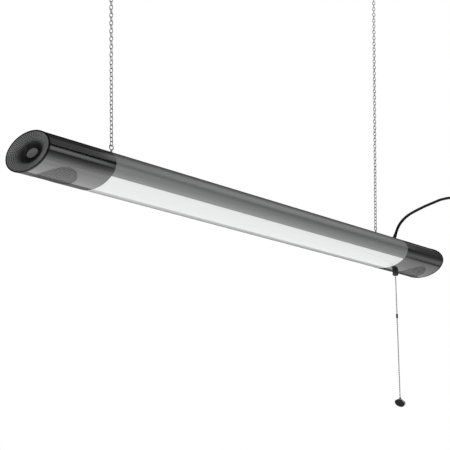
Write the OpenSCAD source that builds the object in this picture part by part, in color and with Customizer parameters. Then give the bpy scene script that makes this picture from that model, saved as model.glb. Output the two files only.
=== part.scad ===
// Hanging shop light with end speakers, hung by two chains from ceiling hooks.
// X runs along the lamp, Y towards its back, Z up. The origin lies on the ceiling,
// midway between the two hooks.

/* [Lamp body] */
// Length of the lamp over both end rings
lamp_l = 1220; // [1000:5:1600]
// Width of the oval section
lamp_w = 127; // [118:1:150]
// Height of the oval section
lamp_h = 73; // [68:1:90]
// Length of each end cap with its ring
cap_l = 152.5; // [148:0.5:180]
// Wall of the end caps
cap_wall = 2.4; // [2:0.1:3]
// Sheet of the housing
housing_wall = 1.2; // [0.8:0.1:1.5]
// Gap at the seam of housing and cap
seam_gap = 0.4; // [0.2:0.1:1]

/* [Diffuser and lamp tray] */
// Wall of the diffuser
lens_wall = 1.8; // [1.2:0.1:2.2]
// How far the housing's mouth lies inside its side
mouth_in = 12.5; // [10:0.5:14]
// Sheet of the tray
tray_wall = 1; // [0.6:0.1:1.5]
// Depth of the tray's face below the lamp's axis
tray_z = 6; // [4:0.5:8]
// Width of each light board
board_w = 14; // [10:1:20]
// Distance between light sources along a board
chip_pitch = 20; // [10:1:40]

/* [Speaker ends] */
// Width of the trim ring seen from the end
rim_w = 2.4; // [2:0.1:4]
// Length of the trim ring along the lamp
rim_l = 3; // [2:0.5:5]
// Depth of the dished grille
dish_depth = 12; // [9:0.5:14]
// Sheet of the grilles
grille_t = 1; // [0.8:0.1:1.2]
// Width of the plain disc in the middle of the grille
disc_w = 33; // [26:1:38]
// Height of that disc
disc_h = 17; // [13:1:20]
// How far the grille patch under the cap lies inside the cap's sides
port_in = 16.5; // [14:0.5:28]
// Gap between the speaker's frame and the cap's wall
speaker_gap = 4.1; // [3:0.1:6]

/* [Hanging] */
// Distance from the ceiling to the lamp's axis
drop = 720; // [400:1:1500]
// Distance of each eye from the seam of its end cap
eye_in = 40; // [15:0.5:150]
// Height of the eye's top above the lamp's axis
eye_top = 60.2; // [56:0.2:70]
// How far each ceiling hook stands outside its eye
hook_out = 25.5; // [-60:0.5:60]
// Wire of the chain
link_wire = 1.6; // [1.2:0.1:1.8]
// Inside length of a chain link, about
link_l = 8.3; // [7:0.1:12]
// Outside width of a chain link
link_w = 7.6; // [7.4:0.1:9]
// Wire of the eyes
eye_wire = 2.1; // [1.8:0.1:2.6]
// Wire of the ceiling hooks
hook_wire = 2.4; // [2:0.1:2.6]
// Length of the hook's screw in the ceiling
shank_l = 25; // [15:1:40]
// Diameter of the hook's screw
shank_d = 4; // [3:0.1:5]

/* [Pull switch] */
// Distance of the pull switch from the seam of the right end cap
switch_in = 36; // [28:0.5:45]
// Diameter of the switch's bushing
bushing_d = 14; // [12:0.5:16]
// How far the bushing stands out below
bushing_l = 13.5; // [8:0.5:20]
// Length of the pull chain above its connector
chain_upper_l = 94.5; // [50:0.5:150]
// Length of the connector
connector_l = 10; // [8:0.5:14]
// Length of the pull chain below its connector
chain_lower_l = 191.5; // [100:0.5:300]
// Diameter of the pull chain's balls
ball_d = 3.2; // [2.4:0.1:3.6]
// Distance between the balls
ball_pitch = 4.5; // [4.2:0.1:6]
// Width of the pull knob
knob_w = 25.5; // [18:0.5:32]
// Height of the pull knob
knob_h = 17; // [14:0.5:24]
// Thickness of the pull knob
knob_t = 9; // [7:0.5:14]

/* [Power cord] */
// Diameter of the power cord
cord_d = 7; // [6:0.1:7]
// Middle radius of the coil's outer loop
coil_r = 48; // [46:1:52]
// Gap between loops that lie beside each other
coil_gap = 0.6; // [0.5:0.1:1]

/* [Hidden] */
$fn = 48;

// One overrun serves all cuts, one clearance all loose fits
over = 1;
fit_gap = 0.3;
slide_gap = 0.1;

// Section of the lamp
half_w = lamp_w/2;
half_h = lamp_h/2;
half_l = lamp_l/2;
section_n = 96;
seam_x = half_l - cap_l;
housing_end_x = seam_x - seam_gap/2;
cap_start_x = seam_x + seam_gap/2;
cap_end_x = half_l - rim_l;
mouth_y = half_w - mouth_in;
mouth_t = acos(mouth_y/half_w);
cap_in_w = half_w - cap_wall;
cap_in_h = half_h - cap_wall;
shell_in_w = half_w - housing_wall;
shell_in_h = half_h - housing_wall;

// Spigot of the cap inside the housing
spigot_l = 12;
spigot_wall = 1.6;
spigot_rise = 6.6;
spigot_gap = 0.2;
spigot_root = 3.8;

// Ledge of the housing and hooks of the diffuser
lens_inset = 0.4;
lens_edge_gap = 0.6;
ledge_in = 3.6;
ledge_rise = 3.95;
ledge_t = 1.2;
ledge_y = mouth_y - ledge_in;
ledge_z = ledge_rise - half_h*sin(mouth_t);
spigot_floor_z = ledge_z + ledge_t + spigot_rise;
hook_reach = 1.2;
web_gap = 0.6;
web_t = 1.6;
hook_t = 1.2;

// Tray, boards and what sits above them
tray_side_gap = 1.2;
tray_wing_w = 8;
tray_wing_y = ledge_y - web_gap - web_t - tray_side_gap;
tray_flat_y = tray_wing_y - tray_wing_w;
tray_wing_drop = 8.5;
tray_end_gap = 7;
board_t = 1.2;
board_end = 10;
chip = [3, 3, 0.7];
bracket_pitch = 300;
bracket_x = [-bracket_pitch, 0, bracket_pitch];
bracket_l = 20;
bracket_y = 4;
bracket_foot = 9;
bracket_t = 1.2;
bracket_seat = 0.05;
driver = [190, 40, 24];
driver_x = -135;
amp = [90, 50, 1.6];
amp_x = 105;
standoff_d = 6;
standoff_h = 5;
standoff_in = 5;
heat_sink = [22, 34, 14];
capacitor_d = 10;
capacitor_h = 14;
terminal = [10, 24, 9];

// Screws
screw_d = 2.8;
screw_head_d = 6;
screw_head_h = 1.6;
screw_hole_gap = 0.15;
screw_l = 5;
foot_y = bracket_y + bracket_foot/2 - bracket_t/2;
board_y = (foot_y + screw_head_d/2 + tray_flat_y)/2;
cap_screw_angle = 75;

// Speaker
ledge_ring_l = 2;
ledge_ring_w = 3;
baffle_t = 2.5;
baffle_in = 20;
baffle_x = half_l - baffle_in;
speaker_r = cap_in_h - speaker_gap;
flange_t = 2;
flange_w = 5;
basket_r = speaker_r - flange_w;
basket_back_r = 16;
basket_l = 21;
basket_wall = 1.2;
magnet_r = 19;
magnet_l = 14;
magnet_hole_r = 9.5;
pole_r = 6.8;
pole_plate = 3;
coil_former_r = 8;
coil_former_t = 0.8;
surround_gap = 1.5;
cone_r = basket_r - basket_wall - surround_gap;
cone_l = 13;
cone_t = 0.8;
cone_in = 1.5;
dust_r = 9;
speaker_screw_in = 3;
speaker_screw_r = speaker_r - speaker_screw_in;
former_l = 12;

// Bulkhead
bulkhead_t = 2;
wire_hole_r = 4;
wire_hole = [16, 4];

// Eyes and their nuts
eye_r = 4.65;
eye_shank_d = 4;
eye_shank_in = 8;
eye_x = seam_x - eye_in;
nut_d = 8;
nut_h = 3.2;
nut_seat_gap = 0.15;
eye_axis_z = eye_top - eye_wire/2;

// Ceiling hooks
hook_x = eye_x + hook_out;
hook_r = 8;
hook_neck = 12;
hook_open = 70;
collar_d = 14;
collar_h = 1.6;
hook_axis_z = -(hook_neck + 2*hook_r);

// Chain: from the hook's wire to the eye's wire
link_gap = 0.2;
chain_run = [eye_x - hook_x, eye_axis_z - drop - hook_axis_z];
chain_length = norm(chain_run);
chain_lean = atan2(-chain_run[0], -chain_run[1]);
chain_span = chain_length + (hook_wire + eye_wire)/2 + link_gap;
link_n = 2*round(chain_span/(2*(link_l - link_gap)));
link_in = chain_span/link_n + link_gap;
link_end_r = (link_w - link_wire)/2;
link_root = 0.1;
link_straight = link_in + link_wire - 2*link_end_r;
link_first = link_in/2 - hook_wire/2 - link_gap;
chain_phase = 38;
chain_twist = 45;
wire_sides = 14;

// Pull switch
bushing_top_z = -half_h;
bushing_bot_z = bushing_top_z - bushing_l;
bushing_bore_r = 3.4;
bushing_mouth_r = 5.2;
bushing_edge = 1;
neck_r = 5;
neck_gap = 0.2;
bushing_seat = 0.05;
switch_x = seam_x + switch_in;
switch_lift = 3.6;
switch_floor_z = switch_lift - cap_in_h;
switch_nut_h = 3;
switch_nut_d = 17;
switch_size = [26, 20, 22];
plunger_r = 2;
plunger_top = 15;
plunger_room = 1;
ball_r = ball_d/2;
wire_r = 0.5;
pull_axis_z = bushing_bot_z;
ball_arc_n = 6;
plunger_hang = 0.4;
plunger_tail = ball_r + plunger_hang;
upper_end_z = pull_axis_z - chain_upper_l;
connector_r = 2.3;
connector_bore_r = ball_r + slide_gap/2;
connector_gap = 0.6;
connector_top_z = upper_end_z - connector_gap;
lower_start_z = connector_top_z - connector_l - connector_gap - ball_r;
lower_end_z = lower_start_z - chain_lower_l;

// Knob: an oval slug whose face looks down and towards the left front
knob_n = 48;
knob_turn = 6;
knob_tilt = -20;
knob_roll = -24;
ferrule_r = 2.8;
ferrule_wall = 1.2;
ferrule_h = 6;
knob_lip = 0.6;
knob_face_t = 2;
knob_dish = 0.6;
knob_rim = 2;
groove = 0.8;
knob_hang = knob_h/2 + knob_lip;
knob_z = lower_end_z - knob_hang;

// Power cord: points of its free run, in X from the seam and in height above the lamp's top
cord_places = [
    [42.5, 18.5], [51.5, 34.5], [62.5, 48.5], [76.5, 61.5], [92.5, 73.5], [110.5, 84.5],
    [130.5, 95], [151.5, 105.5], [174.5, 116.5], [198.5, 127.5], [223.5, 138.5],
    [248.5, 149.5], [273.5, 158.5], [298.5, 166], [322.5, 170], [345.5, 170],
    [366.5, 166], [383.5, 159], [395.5, 150], [403.5, 139.5], [412.5, 127.5]
];
cord_route = [for (p = cord_places) p + [seam_x, half_h]];
cord_r = cord_d/2;
cord_sides = 8;
route_n = len(cord_route);
cord_first = cord_route[1] - cord_route[0];
cord_last = cord_route[route_n - 1] - cord_route[route_n - 2];
relief_flange_r = 7.5;
relief_flange_t = 2;
relief_neck_r = 5.8;
relief_inner_t = 1.5;
relief_root_r = 5;
relief_tip_wall = 0.5;
relief_tip_r = cord_r + relief_tip_wall;
relief_seat = 0.1;
relief_z = half_h + relief_seat + relief_flange_t;
relief_x = cord_route[0][0] - (cord_route[0][1] - relief_z)*cord_first[0]/cord_first[1];
relief_angle = atan2(cord_first[0], cord_first[1]);

// Coil: its loops spiral in, climb to the second layer and spiral out again
coil_step = cord_d + coil_gap;
coil_phase = 90 + atan2(cord_last[1], cord_last[0]);
coil_climb = 0.5;
coil_turns = 4 + coil_phase/360;
coil_in = (coil_turns - coil_climb)/2;
coil_lead = 8;
coil_start = cord_route[route_n - 1] + coil_lead*cord_last/norm(cord_last);
coil_centre = coil_start - coil_r*[cos(coil_phase), sin(coil_phase)];
coil_rings = 24;
coil_sides = 6;
coil_dip = 1.4;
coil_tail = 12;
coil_n = floor(coil_turns*coil_rings);
plug_end = [coil_centre[0] + coil_r, coil_step, coil_centre[1] - coil_tail];
plug_relief_l = 26;
plug_relief_r = 5.5;
plug_relief_tip = 4.1;
plug_size = [21, 25, 28];
plug_shift = 2;
plug_chamfer = 4;
blade = [6.3, 1.5, 16];
blade_gap = 12.7;
blade_shift = -3.5;
ground_r = 2.4;
ground_l = 19;
ground_shift = 8.4;
tie_h = 10;
tie_t = 1.4;
tie_gap = 0.5;

// A point of an oval, by its half width, half height and angle
function oval_point(a, b, t) = [a*cos(t), b*sin(t)];
function oval_arc(a, b, t0, t1, n) = [for (i = [0:n]) oval_point(a, b, t0 + (t1 - t0)*i/n)];
function reversed(list) = [for (i = [len(list) - 1:-1:0]) list[i]];
function unit(v) = v/norm(v);

// Direction of a path at point i
function path_way(path, i) = unit(path[min(i + 1, len(path) - 1)] - path[max(i - 1, 0)]);
// One ring of a tube round a path: the tube's section is turned square to its way
function ring(point, way, r, sides) =
    let (side = unit(cross([0, 1, 0], way)), other = cross(way, side))
    [for (k = [0:sides - 1]) point + r*(cos(360*k/sides)*side + sin(360*k/sides)*other)];
// Faces between rings, and the two ends
function tube_faces(rings, sides) = concat(
    [[for (k = [0:sides - 1]) k]],
    [for (i = [0:rings - 2]) for (k = [0:sides - 1])
        [i*sides + k, (i + 1)*sides + k, (i + 1)*sides + (k + 1)%sides]],
    [for (i = [0:rings - 2]) for (k = [0:sides - 1])
        [i*sides + k, (i + 1)*sides + (k + 1)%sides, i*sides + (k + 1)%sides]],
    [[for (k = [sides - 1:-1:0]) (rings - 1)*sides + k]]
);

// A tube swept along a path; the ways of its two ends can be given
module tube(path, r, sides, first = undef, last = undef) {
    n = len(path);
    points = [for (i = [0:n - 1])
        let (way = i == 0 && first != undef ? unit(first)
            : i == n - 1 && last != undef ? unit(last) : path_way(path, i))
        each ring(path[i], way, r, sides)];
    polyhedron(points, tube_faces(n, sides), convexity = 10);
}

// A closed wall made of oval rings, each given as its place along X, half width and half height
module oval_loft(rings, n) {
    points = [for (r = rings) for (k = [0:n - 1])
        let (p = oval_point(r[1], r[2], 360*k/n)) [r[0], p[0], p[1]]];
    polyhedron(points, tube_faces(len(rings), n), convexity = 10);
}

// Draws a section of Y and Z along X
module along_x(x0, x1) {
    translate([x0, 0, 0]) rotate([90, 0, 90]) linear_extrude(height = x1 - x0) children();
}

module oval(a, b) {
    polygon([for (i = [0:section_n - 1]) oval_point(a, b, 360*i/section_n)]);
}

module oval_ring(a, b, wall) {
    difference() {
        oval(a, b);
        oval(a - wall, b - wall);
    }
}

// Puts a lamp piece at its height below the ceiling
module on_lamp() {
    translate([0, 0, -drop]) children();
}

// Turns a piece made for the right end round to the left end
module at_end(side) {
    if (side < 0) mirror([1, 0, 0]) children();
    else children();
}

// Puts a piece on the oval at angle t, standing square to it
module on_oval(x, a, b, t) {
    p = oval_point(a, b, t);
    translate([x, p[0], p[1]]) rotate([atan2(-cos(t)/a, sin(t)/b), 0, 0]) children();
}

module screw(l) {
    cylinder(d = screw_head_d, h = screw_head_h);
    translate([0, 0, -l]) cylinder(d = screw_d, h = l + screw_head_h/2);
}

module screw_hole(l) {
    translate([0, 0, -l]) cylinder(r = screw_d/2 + screw_hole_gap, h = 2*l);
}

module hex_nut(d, h, hole_r) {
    difference() {
        cylinder(d = d, h = h, $fn = 6);
        translate([0, 0, -over]) cylinder(r = hole_r, h = h + 2*over);
    }
}

// Chain

// One link: its hole is link_in long, it stands in the XZ plane
module link() {
    for (end = [0, 1])
        mirror([0, 0, end]) {
            translate([0, 0, link_straight/2]) rotate([90, 0, 0])
                rotate_extrude(angle = 180, $fn = 24)
                    translate([link_end_r, 0]) circle(d = link_wire, $fn = wire_sides);
            for (side = [-1, 1])
                translate([side*link_end_r, 0, -link_root])
                    cylinder(d = link_wire, h = link_straight/2 + link_root, $fn = wire_sides);
        }
}

module chain(side) {
    color([0.72, 0.73, 0.74])
        at_end(side) translate([hook_x, 0, hook_axis_z]) rotate([0, chain_lean, 0])
            for (i = [0:link_n - 1])
                translate([0, 0, -link_first - i*(link_in - link_gap)])
                    rotate([0, 0, 90 + chain_phase + i*(90 + chain_twist/(link_n - 1))]) link();
}

module ceiling_hook(side) {
    color([0.7, 0.71, 0.73])
        at_end(side) translate([hook_x, 0, 0]) {
            cylinder(d = shank_d, h = shank_l);
            translate([0, 0, -collar_h]) cylinder(d = collar_d, h = collar_h);
            translate([0, 0, -hook_neck - hook_wire/2]) cylinder(d = hook_wire, h = hook_neck);
            translate([0, 0, -hook_neck - hook_r]) rotate([90, 0, 0]) rotate([0, 0, 90])
                rotate_extrude(angle = 360 - hook_open) translate([hook_r, 0]) circle(d = hook_wire);
        }
}

module hanger_eye(side) {
    color([0.6, 0.61, 0.63])
        on_lamp() at_end(side) translate([eye_x, 0, eye_axis_z - eye_r]) {
            rotate([90, 0, 0]) rotate_extrude() translate([eye_r, 0]) circle(d = eye_wire);
            translate([0, 0, half_h - eye_shank_in - eye_axis_z + eye_r])
                cylinder(d = eye_shank_d, h = eye_axis_z - 2*eye_r - half_h + eye_shank_in);
        }
}

module eye_nuts() {
    color([0.62, 0.63, 0.65])
        on_lamp() for (side = [-1, 1]) translate([side*eye_x, 0, 0]) {
            translate([0, 0, half_h]) hex_nut(nut_d, nut_h, eye_shank_d/2 + slide_gap);
            translate([0, 0, shell_in_h - nut_seat_gap - nut_h])
                hex_nut(nut_d, nut_h, eye_shank_d/2 + slide_gap);
        }
}

// Housing

module housing_section() {
    low_t = asin(ledge_z/shell_in_h);
    high_t = asin((ledge_z + ledge_t)/shell_in_h);
    outer = oval_arc(half_w, half_h, -mouth_t, 180 + mouth_t, section_n);
    inner = concat(
        oval_arc(shell_in_w, shell_in_h, -mouth_t, low_t, 2),
        [[ledge_y, ledge_z], [ledge_y, ledge_z + ledge_t]],
        oval_arc(shell_in_w, shell_in_h, high_t, 180 - high_t, section_n),
        [[-ledge_y, ledge_z + ledge_t], [-ledge_y, ledge_z]],
        oval_arc(shell_in_w, shell_in_h, 180 - low_t, 180 + mouth_t, 2));
    polygon(concat(outer, reversed(inner)));
}

module housing_shell() {
    color([0.48, 0.49, 0.49])
        on_lamp() difference() {
            along_x(-housing_end_x, housing_end_x) housing_section();
            for (side = [-1, 1]) {
                translate([side*eye_x, 0, half_h - 2*housing_wall])
                    cylinder(r = eye_shank_d/2 + slide_gap, h = 3*housing_wall);
                at_end(side) cap_screw_places() screw_hole(screw_l);
            }
            bracket_screw_places() screw_hole(screw_l);
        }
}

module lens_section() {
    a = half_w - lens_inset;
    b = half_h - lens_inset;
    edge_t = acos((mouth_y - lens_edge_gap)/a);
    web_y = ledge_y - web_gap - web_t;
    web_floor = -(b - lens_wall/2)*sqrt(1 - pow((web_y + web_t)/(a - lens_wall/2), 2));
    polygon(concat(oval_arc(a, b, 180 + edge_t, 360 - edge_t, section_n),
        reversed(oval_arc(a - lens_wall, b - lens_wall, 180 + edge_t, 360 - edge_t, section_n))));
    for (side = [0, 1])
        mirror([side, 0]) {
            translate([web_y, web_floor])
                square([web_t, ledge_z + ledge_t + fit_gap + hook_t - web_floor]);
            translate([web_y, ledge_z + ledge_t + fit_gap])
                square([web_t + web_gap + hook_reach, hook_t]);
        }
}

module diffuser_lens() {
    color([0.95, 0.96, 0.95])
        on_lamp() along_x(-housing_end_x, housing_end_x) lens_section();
}

module tray_section() {
    polygon([
        [-tray_wing_y, -tray_z - tray_wing_drop], [-tray_flat_y, -tray_z],
        [tray_flat_y, -tray_z], [tray_wing_y, -tray_z - tray_wing_drop],
        [tray_wing_y, -tray_z - tray_wing_drop + tray_wall],
        [tray_flat_y, -tray_z + tray_wall], [-tray_flat_y, -tray_z + tray_wall],
        [-tray_wing_y, -tray_z - tray_wing_drop + tray_wall]
    ]);
}

module led_tray() {
    color([0.93, 0.93, 0.92])
        on_lamp() difference() {
            along_x(-(seam_x - tray_end_gap), seam_x - tray_end_gap) tray_section();
            foot_screw_places() screw_hole(screw_l);
        }
}

module led_board(side) {
    color([0.9, 0.92, 0.9])
        on_lamp() translate([-(seam_x - tray_end_gap - board_end),
                side*board_y - board_w/2, -tray_z - board_t])
            cube([2*(seam_x - tray_end_gap - board_end), board_w, board_t]);
}

module led_chips() {
    n = floor((seam_x - tray_end_gap - 2*board_end)/chip_pitch);
    color([0.95, 0.9, 0.55])
        on_lamp() for (side = [-1, 1]) for (i = [-n:n])
            translate([i*chip_pitch - chip[0]/2, side*board_y - chip[1]/2,
                    -tray_z - board_t - chip[2]])
                cube(chip);
}

bracket_top_z = shell_in_h*sqrt(1 - pow(bracket_y/shell_in_w, 2)) - bracket_seat;
bracket_foot_z = -tray_z + tray_wall;

module bracket_section() {
    translate([-bracket_y, bracket_top_z - bracket_t]) square([2*bracket_y, bracket_t]);
    for (side = [0, 1])
        mirror([side, 0]) {
            translate([bracket_y - bracket_t, bracket_foot_z])
                square([bracket_t, bracket_top_z - bracket_foot_z]);
            translate([bracket_y - bracket_t, bracket_foot_z]) square([bracket_foot, bracket_t]);
        }
}

module bracket_screw_places() {
    for (x = bracket_x) translate([x, 0, half_h]) children();
}

module foot_screw_places() {
    for (x = bracket_x) for (side = [-1, 1])
        translate([x, side*foot_y, -tray_z])
            rotate([180, 0, 0]) children();
}

module tray_brackets() {
    color([0.7, 0.71, 0.72])
        on_lamp() difference() {
            for (x = bracket_x)
                along_x(x - bracket_l/2, x + bracket_l/2) bracket_section();
            bracket_screw_places() screw_hole(screw_l);
            foot_screw_places() screw_hole(screw_l);
        }
}

module tray_screws() {
    color([0.66, 0.67, 0.68])
        on_lamp() {
            bracket_screw_places() screw(screw_l);
            foot_screw_places() screw(screw_l);
        }
}

module led_driver() {
    color([0.82, 0.83, 0.84])
        on_lamp() translate([driver_x - driver[0]/2, -driver[1]/2, -tray_z + tray_wall])
            cube(driver);
}

module amplifier_board() {
    z = -tray_z + tray_wall + standoff_h;
    color([0.1, 0.35, 0.2])
        on_lamp() translate([amp_x, 0, z]) {
            translate([-amp[0]/2, -amp[1]/2, 0]) cube(amp);
            translate([-heat_sink[0]/2, -heat_sink[1]/2, amp[2]]) cube(heat_sink);
            for (side = [-1, 1]) {
                translate([amp[0]/4, side*amp[1]/4, amp[2]]) cylinder(d = capacitor_d, h = capacitor_h);
                translate([side*(amp[0]/2 - terminal[0]/2) - terminal[0]/2, -terminal[1]/2, amp[2]])
                    cube(terminal);
            }
        }
}

module board_standoffs() {
    color([0.85, 0.75, 0.4])
        on_lamp() for (x = [-1, 1]) for (y = [-1, 1])
            translate([amp_x + x*(amp[0]/2 - standoff_in), y*(amp[1]/2 - standoff_in),
                    -tray_z + tray_wall])
                cylinder(d = standoff_d, h = standoff_h, $fn = 6);
}

// Ends

// Grille patch: it fills the cap from beside the switch to the ledge of the baffle
port_gap = 0.3;
port_ledge = 3;
port_switch_gap = 15;
port_end_gap = 1;
port_start_x = switch_x + port_switch_gap;
port_end_x = baffle_x - ledge_ring_l - port_end_gap;
port_l = port_end_x - port_start_x;
port_w = lamp_w - 2*port_in;
port_x = (port_start_x + port_end_x)/2;
port_n = section_n/2;
port_sink = 0.15;
port_seat = 0.05;
port_floor = grille_t + port_sink + port_seat;

module port_outline(grow) {
    polygon([for (i = [0:port_n - 1]) oval_point(port_l/2 + grow, port_w/2 + grow, 360*i/port_n)]);
}

module port_block(grow) {
    translate([port_x, 0, -half_h - over]) linear_extrude(height = half_h) port_outline(grow);
}

module cap_screw_places() {
    for (t = [cap_screw_angle, 180 - cap_screw_angle])
        on_oval(housing_end_x - spigot_l/2, half_w, half_h, t) children();
}

module end_cap(side) {
    color([0.2, 0.205, 0.21])
        on_lamp() at_end(side) difference() {
            union() {
                along_x(cap_start_x, cap_end_x) oval_ring(half_w, half_h, cap_wall);
                along_x(seam_x - spigot_l, seam_x + spigot_root) intersection() {
                    oval_ring(shell_in_w - spigot_gap, shell_in_h - spigot_gap, spigot_wall);
                    translate([-half_w, spigot_floor_z]) square([lamp_w, lamp_h]);
                }
                along_x(baffle_x - ledge_ring_l, baffle_x)
                    oval_ring(cap_in_w + cap_wall/2, cap_in_h + cap_wall/2, ledge_ring_w + cap_wall/2);
            }
            cap_screw_places() screw_hole(screw_l);
            // Seat of the grille patch, then the opening behind it
            difference() {
                port_block(port_gap);
                along_x(port_x - port_l, port_x + port_l) oval(half_w - port_floor, half_h - port_floor);
            }
            port_block(-port_ledge);
            if (side > 0) {
                translate([switch_x, 0, -half_h - over])
                    cylinder(r = neck_r + neck_gap, h = 2*cap_wall + over);
                translate([relief_x, 0, cap_in_h - over])
                    cylinder(r = relief_neck_r + neck_gap, h = 2*cap_wall + over);
            }
        }
}

module port_grille(side) {
    color([0.13, 0.13, 0.135])
        on_lamp() at_end(side) intersection() {
            port_block(0);
            along_x(port_x - port_l, port_x + port_l)
                oval_ring(half_w - port_sink, half_h - port_sink, grille_t);
        }
}

module cap_screws() {
    color([0.25, 0.25, 0.26])
        on_lamp() for (side = [-1, 1]) at_end(side) cap_screw_places() screw(screw_l);
}

module trim_ring(side) {
    color([0.03, 0.03, 0.03])
        on_lamp() at_end(side) along_x(cap_end_x, half_l) oval_ring(half_w, half_h, rim_w);
}

// Outline of the dish from its middle to its rim, as shares of the way out and of its depth
dish_shares = [[0, 1], [0.2, 0.8], [0.45, 0.52], [0.72, 0.25], [0.9, 0.08], [1, 0]];
dish_rim_gap = 0.08;
dish_setback = 1.2;
dish_front_x = half_l - dish_setback;
dish_skirt = 6;
dish_back_x = dish_front_x - dish_depth;

function dish_ring(share, inset, back) = let (
    w = half_w - rim_w - dish_rim_gap - inset,
    h = half_h - rim_w - dish_rim_gap - inset)
    [dish_front_x - share[1]*dish_depth - back,
        disc_w/2 + share[0]*(w - disc_w/2), disc_h/2 + share[0]*(h - disc_h/2)];

module end_grille(side) {
    outside = [for (s = dish_shares) dish_ring(s, 0, 0)];
    inside = reversed([for (s = dish_shares) dish_ring(s, grille_t*s[0], grille_t*1.15)]);
    rim = outside[len(outside) - 1];
    skirt = [rim[0] - dish_skirt, rim[1], rim[2]];
    skirt_in = [rim[0] - dish_skirt, rim[1] - grille_t, rim[2] - grille_t];
    color([0.1, 0.1, 0.105])
        on_lamp() at_end(side)
            oval_loft(reversed(concat(outside, [skirt, skirt_in], inside)), section_n/2);
}

disc_t = 1.4;
disc_edge = 2;
disc_dish = 0.5;
disc_gap = 0.3;

module centre_disc(side) {
    x = dish_back_x;
    a = disc_w/2 - disc_gap;
    b = disc_h/2 - disc_gap;
    color([0.2, 0.2, 0.21])
        on_lamp() at_end(side) oval_loft([
            [x, a, b], [x + disc_t, a, b],
            [x + disc_t, a - disc_edge/2, b - disc_edge/2],
            [x + disc_t - disc_dish, a - disc_edge, b - disc_edge]
        ], section_n/2);
}

module speaker_screw_places() {
    for (k = [0:3])
        rotate([45 + 90*k, 0, 0]) translate([baffle_x + baffle_t + flange_t, speaker_screw_r, 0])
            rotate([0, 90, 0]) children();
}

module baffle(side) {
    color([0.25, 0.2, 0.16])
        on_lamp() at_end(side) difference() {
            along_x(baffle_x, baffle_x + baffle_t)
                oval(cap_in_w - fit_gap, cap_in_h - fit_gap);
            translate([baffle_x - over, 0, 0]) rotate([0, 90, 0])
                cylinder(r = basket_r + fit_gap, h = baffle_t + 2*over);
            speaker_screw_places() screw_hole(2*screw_l);
        }
}

basket_front_x = baffle_x + baffle_t + flange_t;
magnet_front_x = basket_front_x - basket_l;

// Turns an outline of radius and place along X round the X axis
module round_x(outline) {
    rotate([90, 0, 90]) rotate_extrude() polygon([for (p = outline) [p[1], p[0]]]);
}

module speaker_basket(side) {
    color([0.08, 0.08, 0.08])
        on_lamp() at_end(side) difference() {
            round_x([
                [basket_front_x, basket_r - basket_wall], [basket_front_x, speaker_r],
                [basket_front_x - flange_t, speaker_r], [basket_front_x - flange_t, basket_r],
                [basket_front_x - flange_t - baffle_t, basket_r], [magnet_front_x, basket_back_r],
                [magnet_front_x, magnet_hole_r], [magnet_front_x + basket_wall, magnet_hole_r],
                [magnet_front_x + basket_wall, basket_back_r - basket_wall],
                [basket_front_x - flange_t - baffle_t, basket_r - basket_wall]
            ]);
            speaker_screw_places() screw_hole(2*screw_l);
        }
}

module speaker_magnet(side) {
    back_x = magnet_front_x - magnet_l;
    color([0.16, 0.16, 0.17])
        on_lamp() at_end(side) round_x([
            [back_x, 0], [back_x, magnet_r], [magnet_front_x, magnet_r],
            [magnet_front_x, magnet_hole_r], [back_x + pole_plate, magnet_hole_r],
            [back_x + pole_plate, pole_r], [magnet_front_x, pole_r], [magnet_front_x, 0]
        ]);
}

module speaker_cone(side) {
    front_x = basket_front_x - cone_in;
    neck_x = front_x - cone_l;
    color([0.12, 0.12, 0.12])
        on_lamp() at_end(side) round_x([
            [neck_x + cone_t, 0], [neck_x + cone_l*0.35, dust_r*0.55], [neck_x + cone_t*3, dust_r],
            [front_x, cone_r], [front_x - cone_t, cone_r], [neck_x, coil_former_r + coil_former_t/2],
            [neck_x - former_l, coil_former_r + coil_former_t/2],
            [neck_x - former_l, coil_former_r - coil_former_t/2],
            [neck_x, coil_former_r - coil_former_t/2], [neck_x, 0]
        ]);
}

module speaker_screws() {
    color([0.6, 0.61, 0.62])
        on_lamp() for (side = [-1, 1]) at_end(side) speaker_screw_places() screw(screw_l);
}

module bulkhead(side) {
    x = seam_x + spigot_root;
    color([0.22, 0.22, 0.22])
        on_lamp() at_end(side) difference() {
            along_x(x, x + bulkhead_t) oval(cap_in_w - fit_gap, cap_in_h - fit_gap);
            for (s = [-1, 1])
                translate([x - over, s*wire_hole[0], wire_hole[1]]) rotate([0, 90, 0])
                    cylinder(r = wire_hole_r, h = bulkhead_t + 2*over);
        }
}

// Leads inside the lamp
lead_sides = 8;
lead_y = 34;
lead_turn = 22;
mains_r = 2.2;
mains_drop = 8;
mains_side = 3;
speaker_lead_r = 1.4;

module mains_lead() {
    z = wire_hole[1];
    start = [relief_x, 0, cap_in_h - fit_gap - relief_inner_t];
    end_x = driver_x + driver[0]/2;
    color([0.05, 0.05, 0.05])
        on_lamp() tube([
            start, start - [0, 0, mains_drop], [relief_x - mains_drop, mains_side, z + mains_drop],
            [seam_x + lead_turn, wire_hole[0], z],
            [seam_x - lead_turn/2, wire_hole[0], z], [seam_x - 2*lead_turn, lead_y, z],
            [end_x + 2*lead_turn, lead_y, z], [end_x + lead_turn, wire_hole[0], z],
            [end_x, wire_hole[0], z]
        ], mains_r, lead_sides, [0, 0, -1], [-1, 0, 0]);
}

module speaker_lead(side) {
    z = wire_hole[1];
    board_x = side*amp_x + amp[0]/2;
    back_x = magnet_front_x - magnet_l;
    color([0.5, 0.1, 0.1])
        on_lamp() at_end(side) tube([
            [board_x, -wire_hole[0]/2, z], [board_x + lead_turn/2, -wire_hole[0]/2, z],
            [board_x + 2*lead_turn, -lead_y, z], [seam_x - 2*lead_turn, -lead_y, z],
            [seam_x - lead_turn/2, -wire_hole[0], z], [seam_x + lead_turn, -wire_hole[0], z],
            [back_x - lead_turn/2, -magnet_hole_r, 0], [back_x, -magnet_hole_r, 0]
        ], speaker_lead_r, lead_sides, [1, 0, 0], [1, 0, 0]);
}

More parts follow.
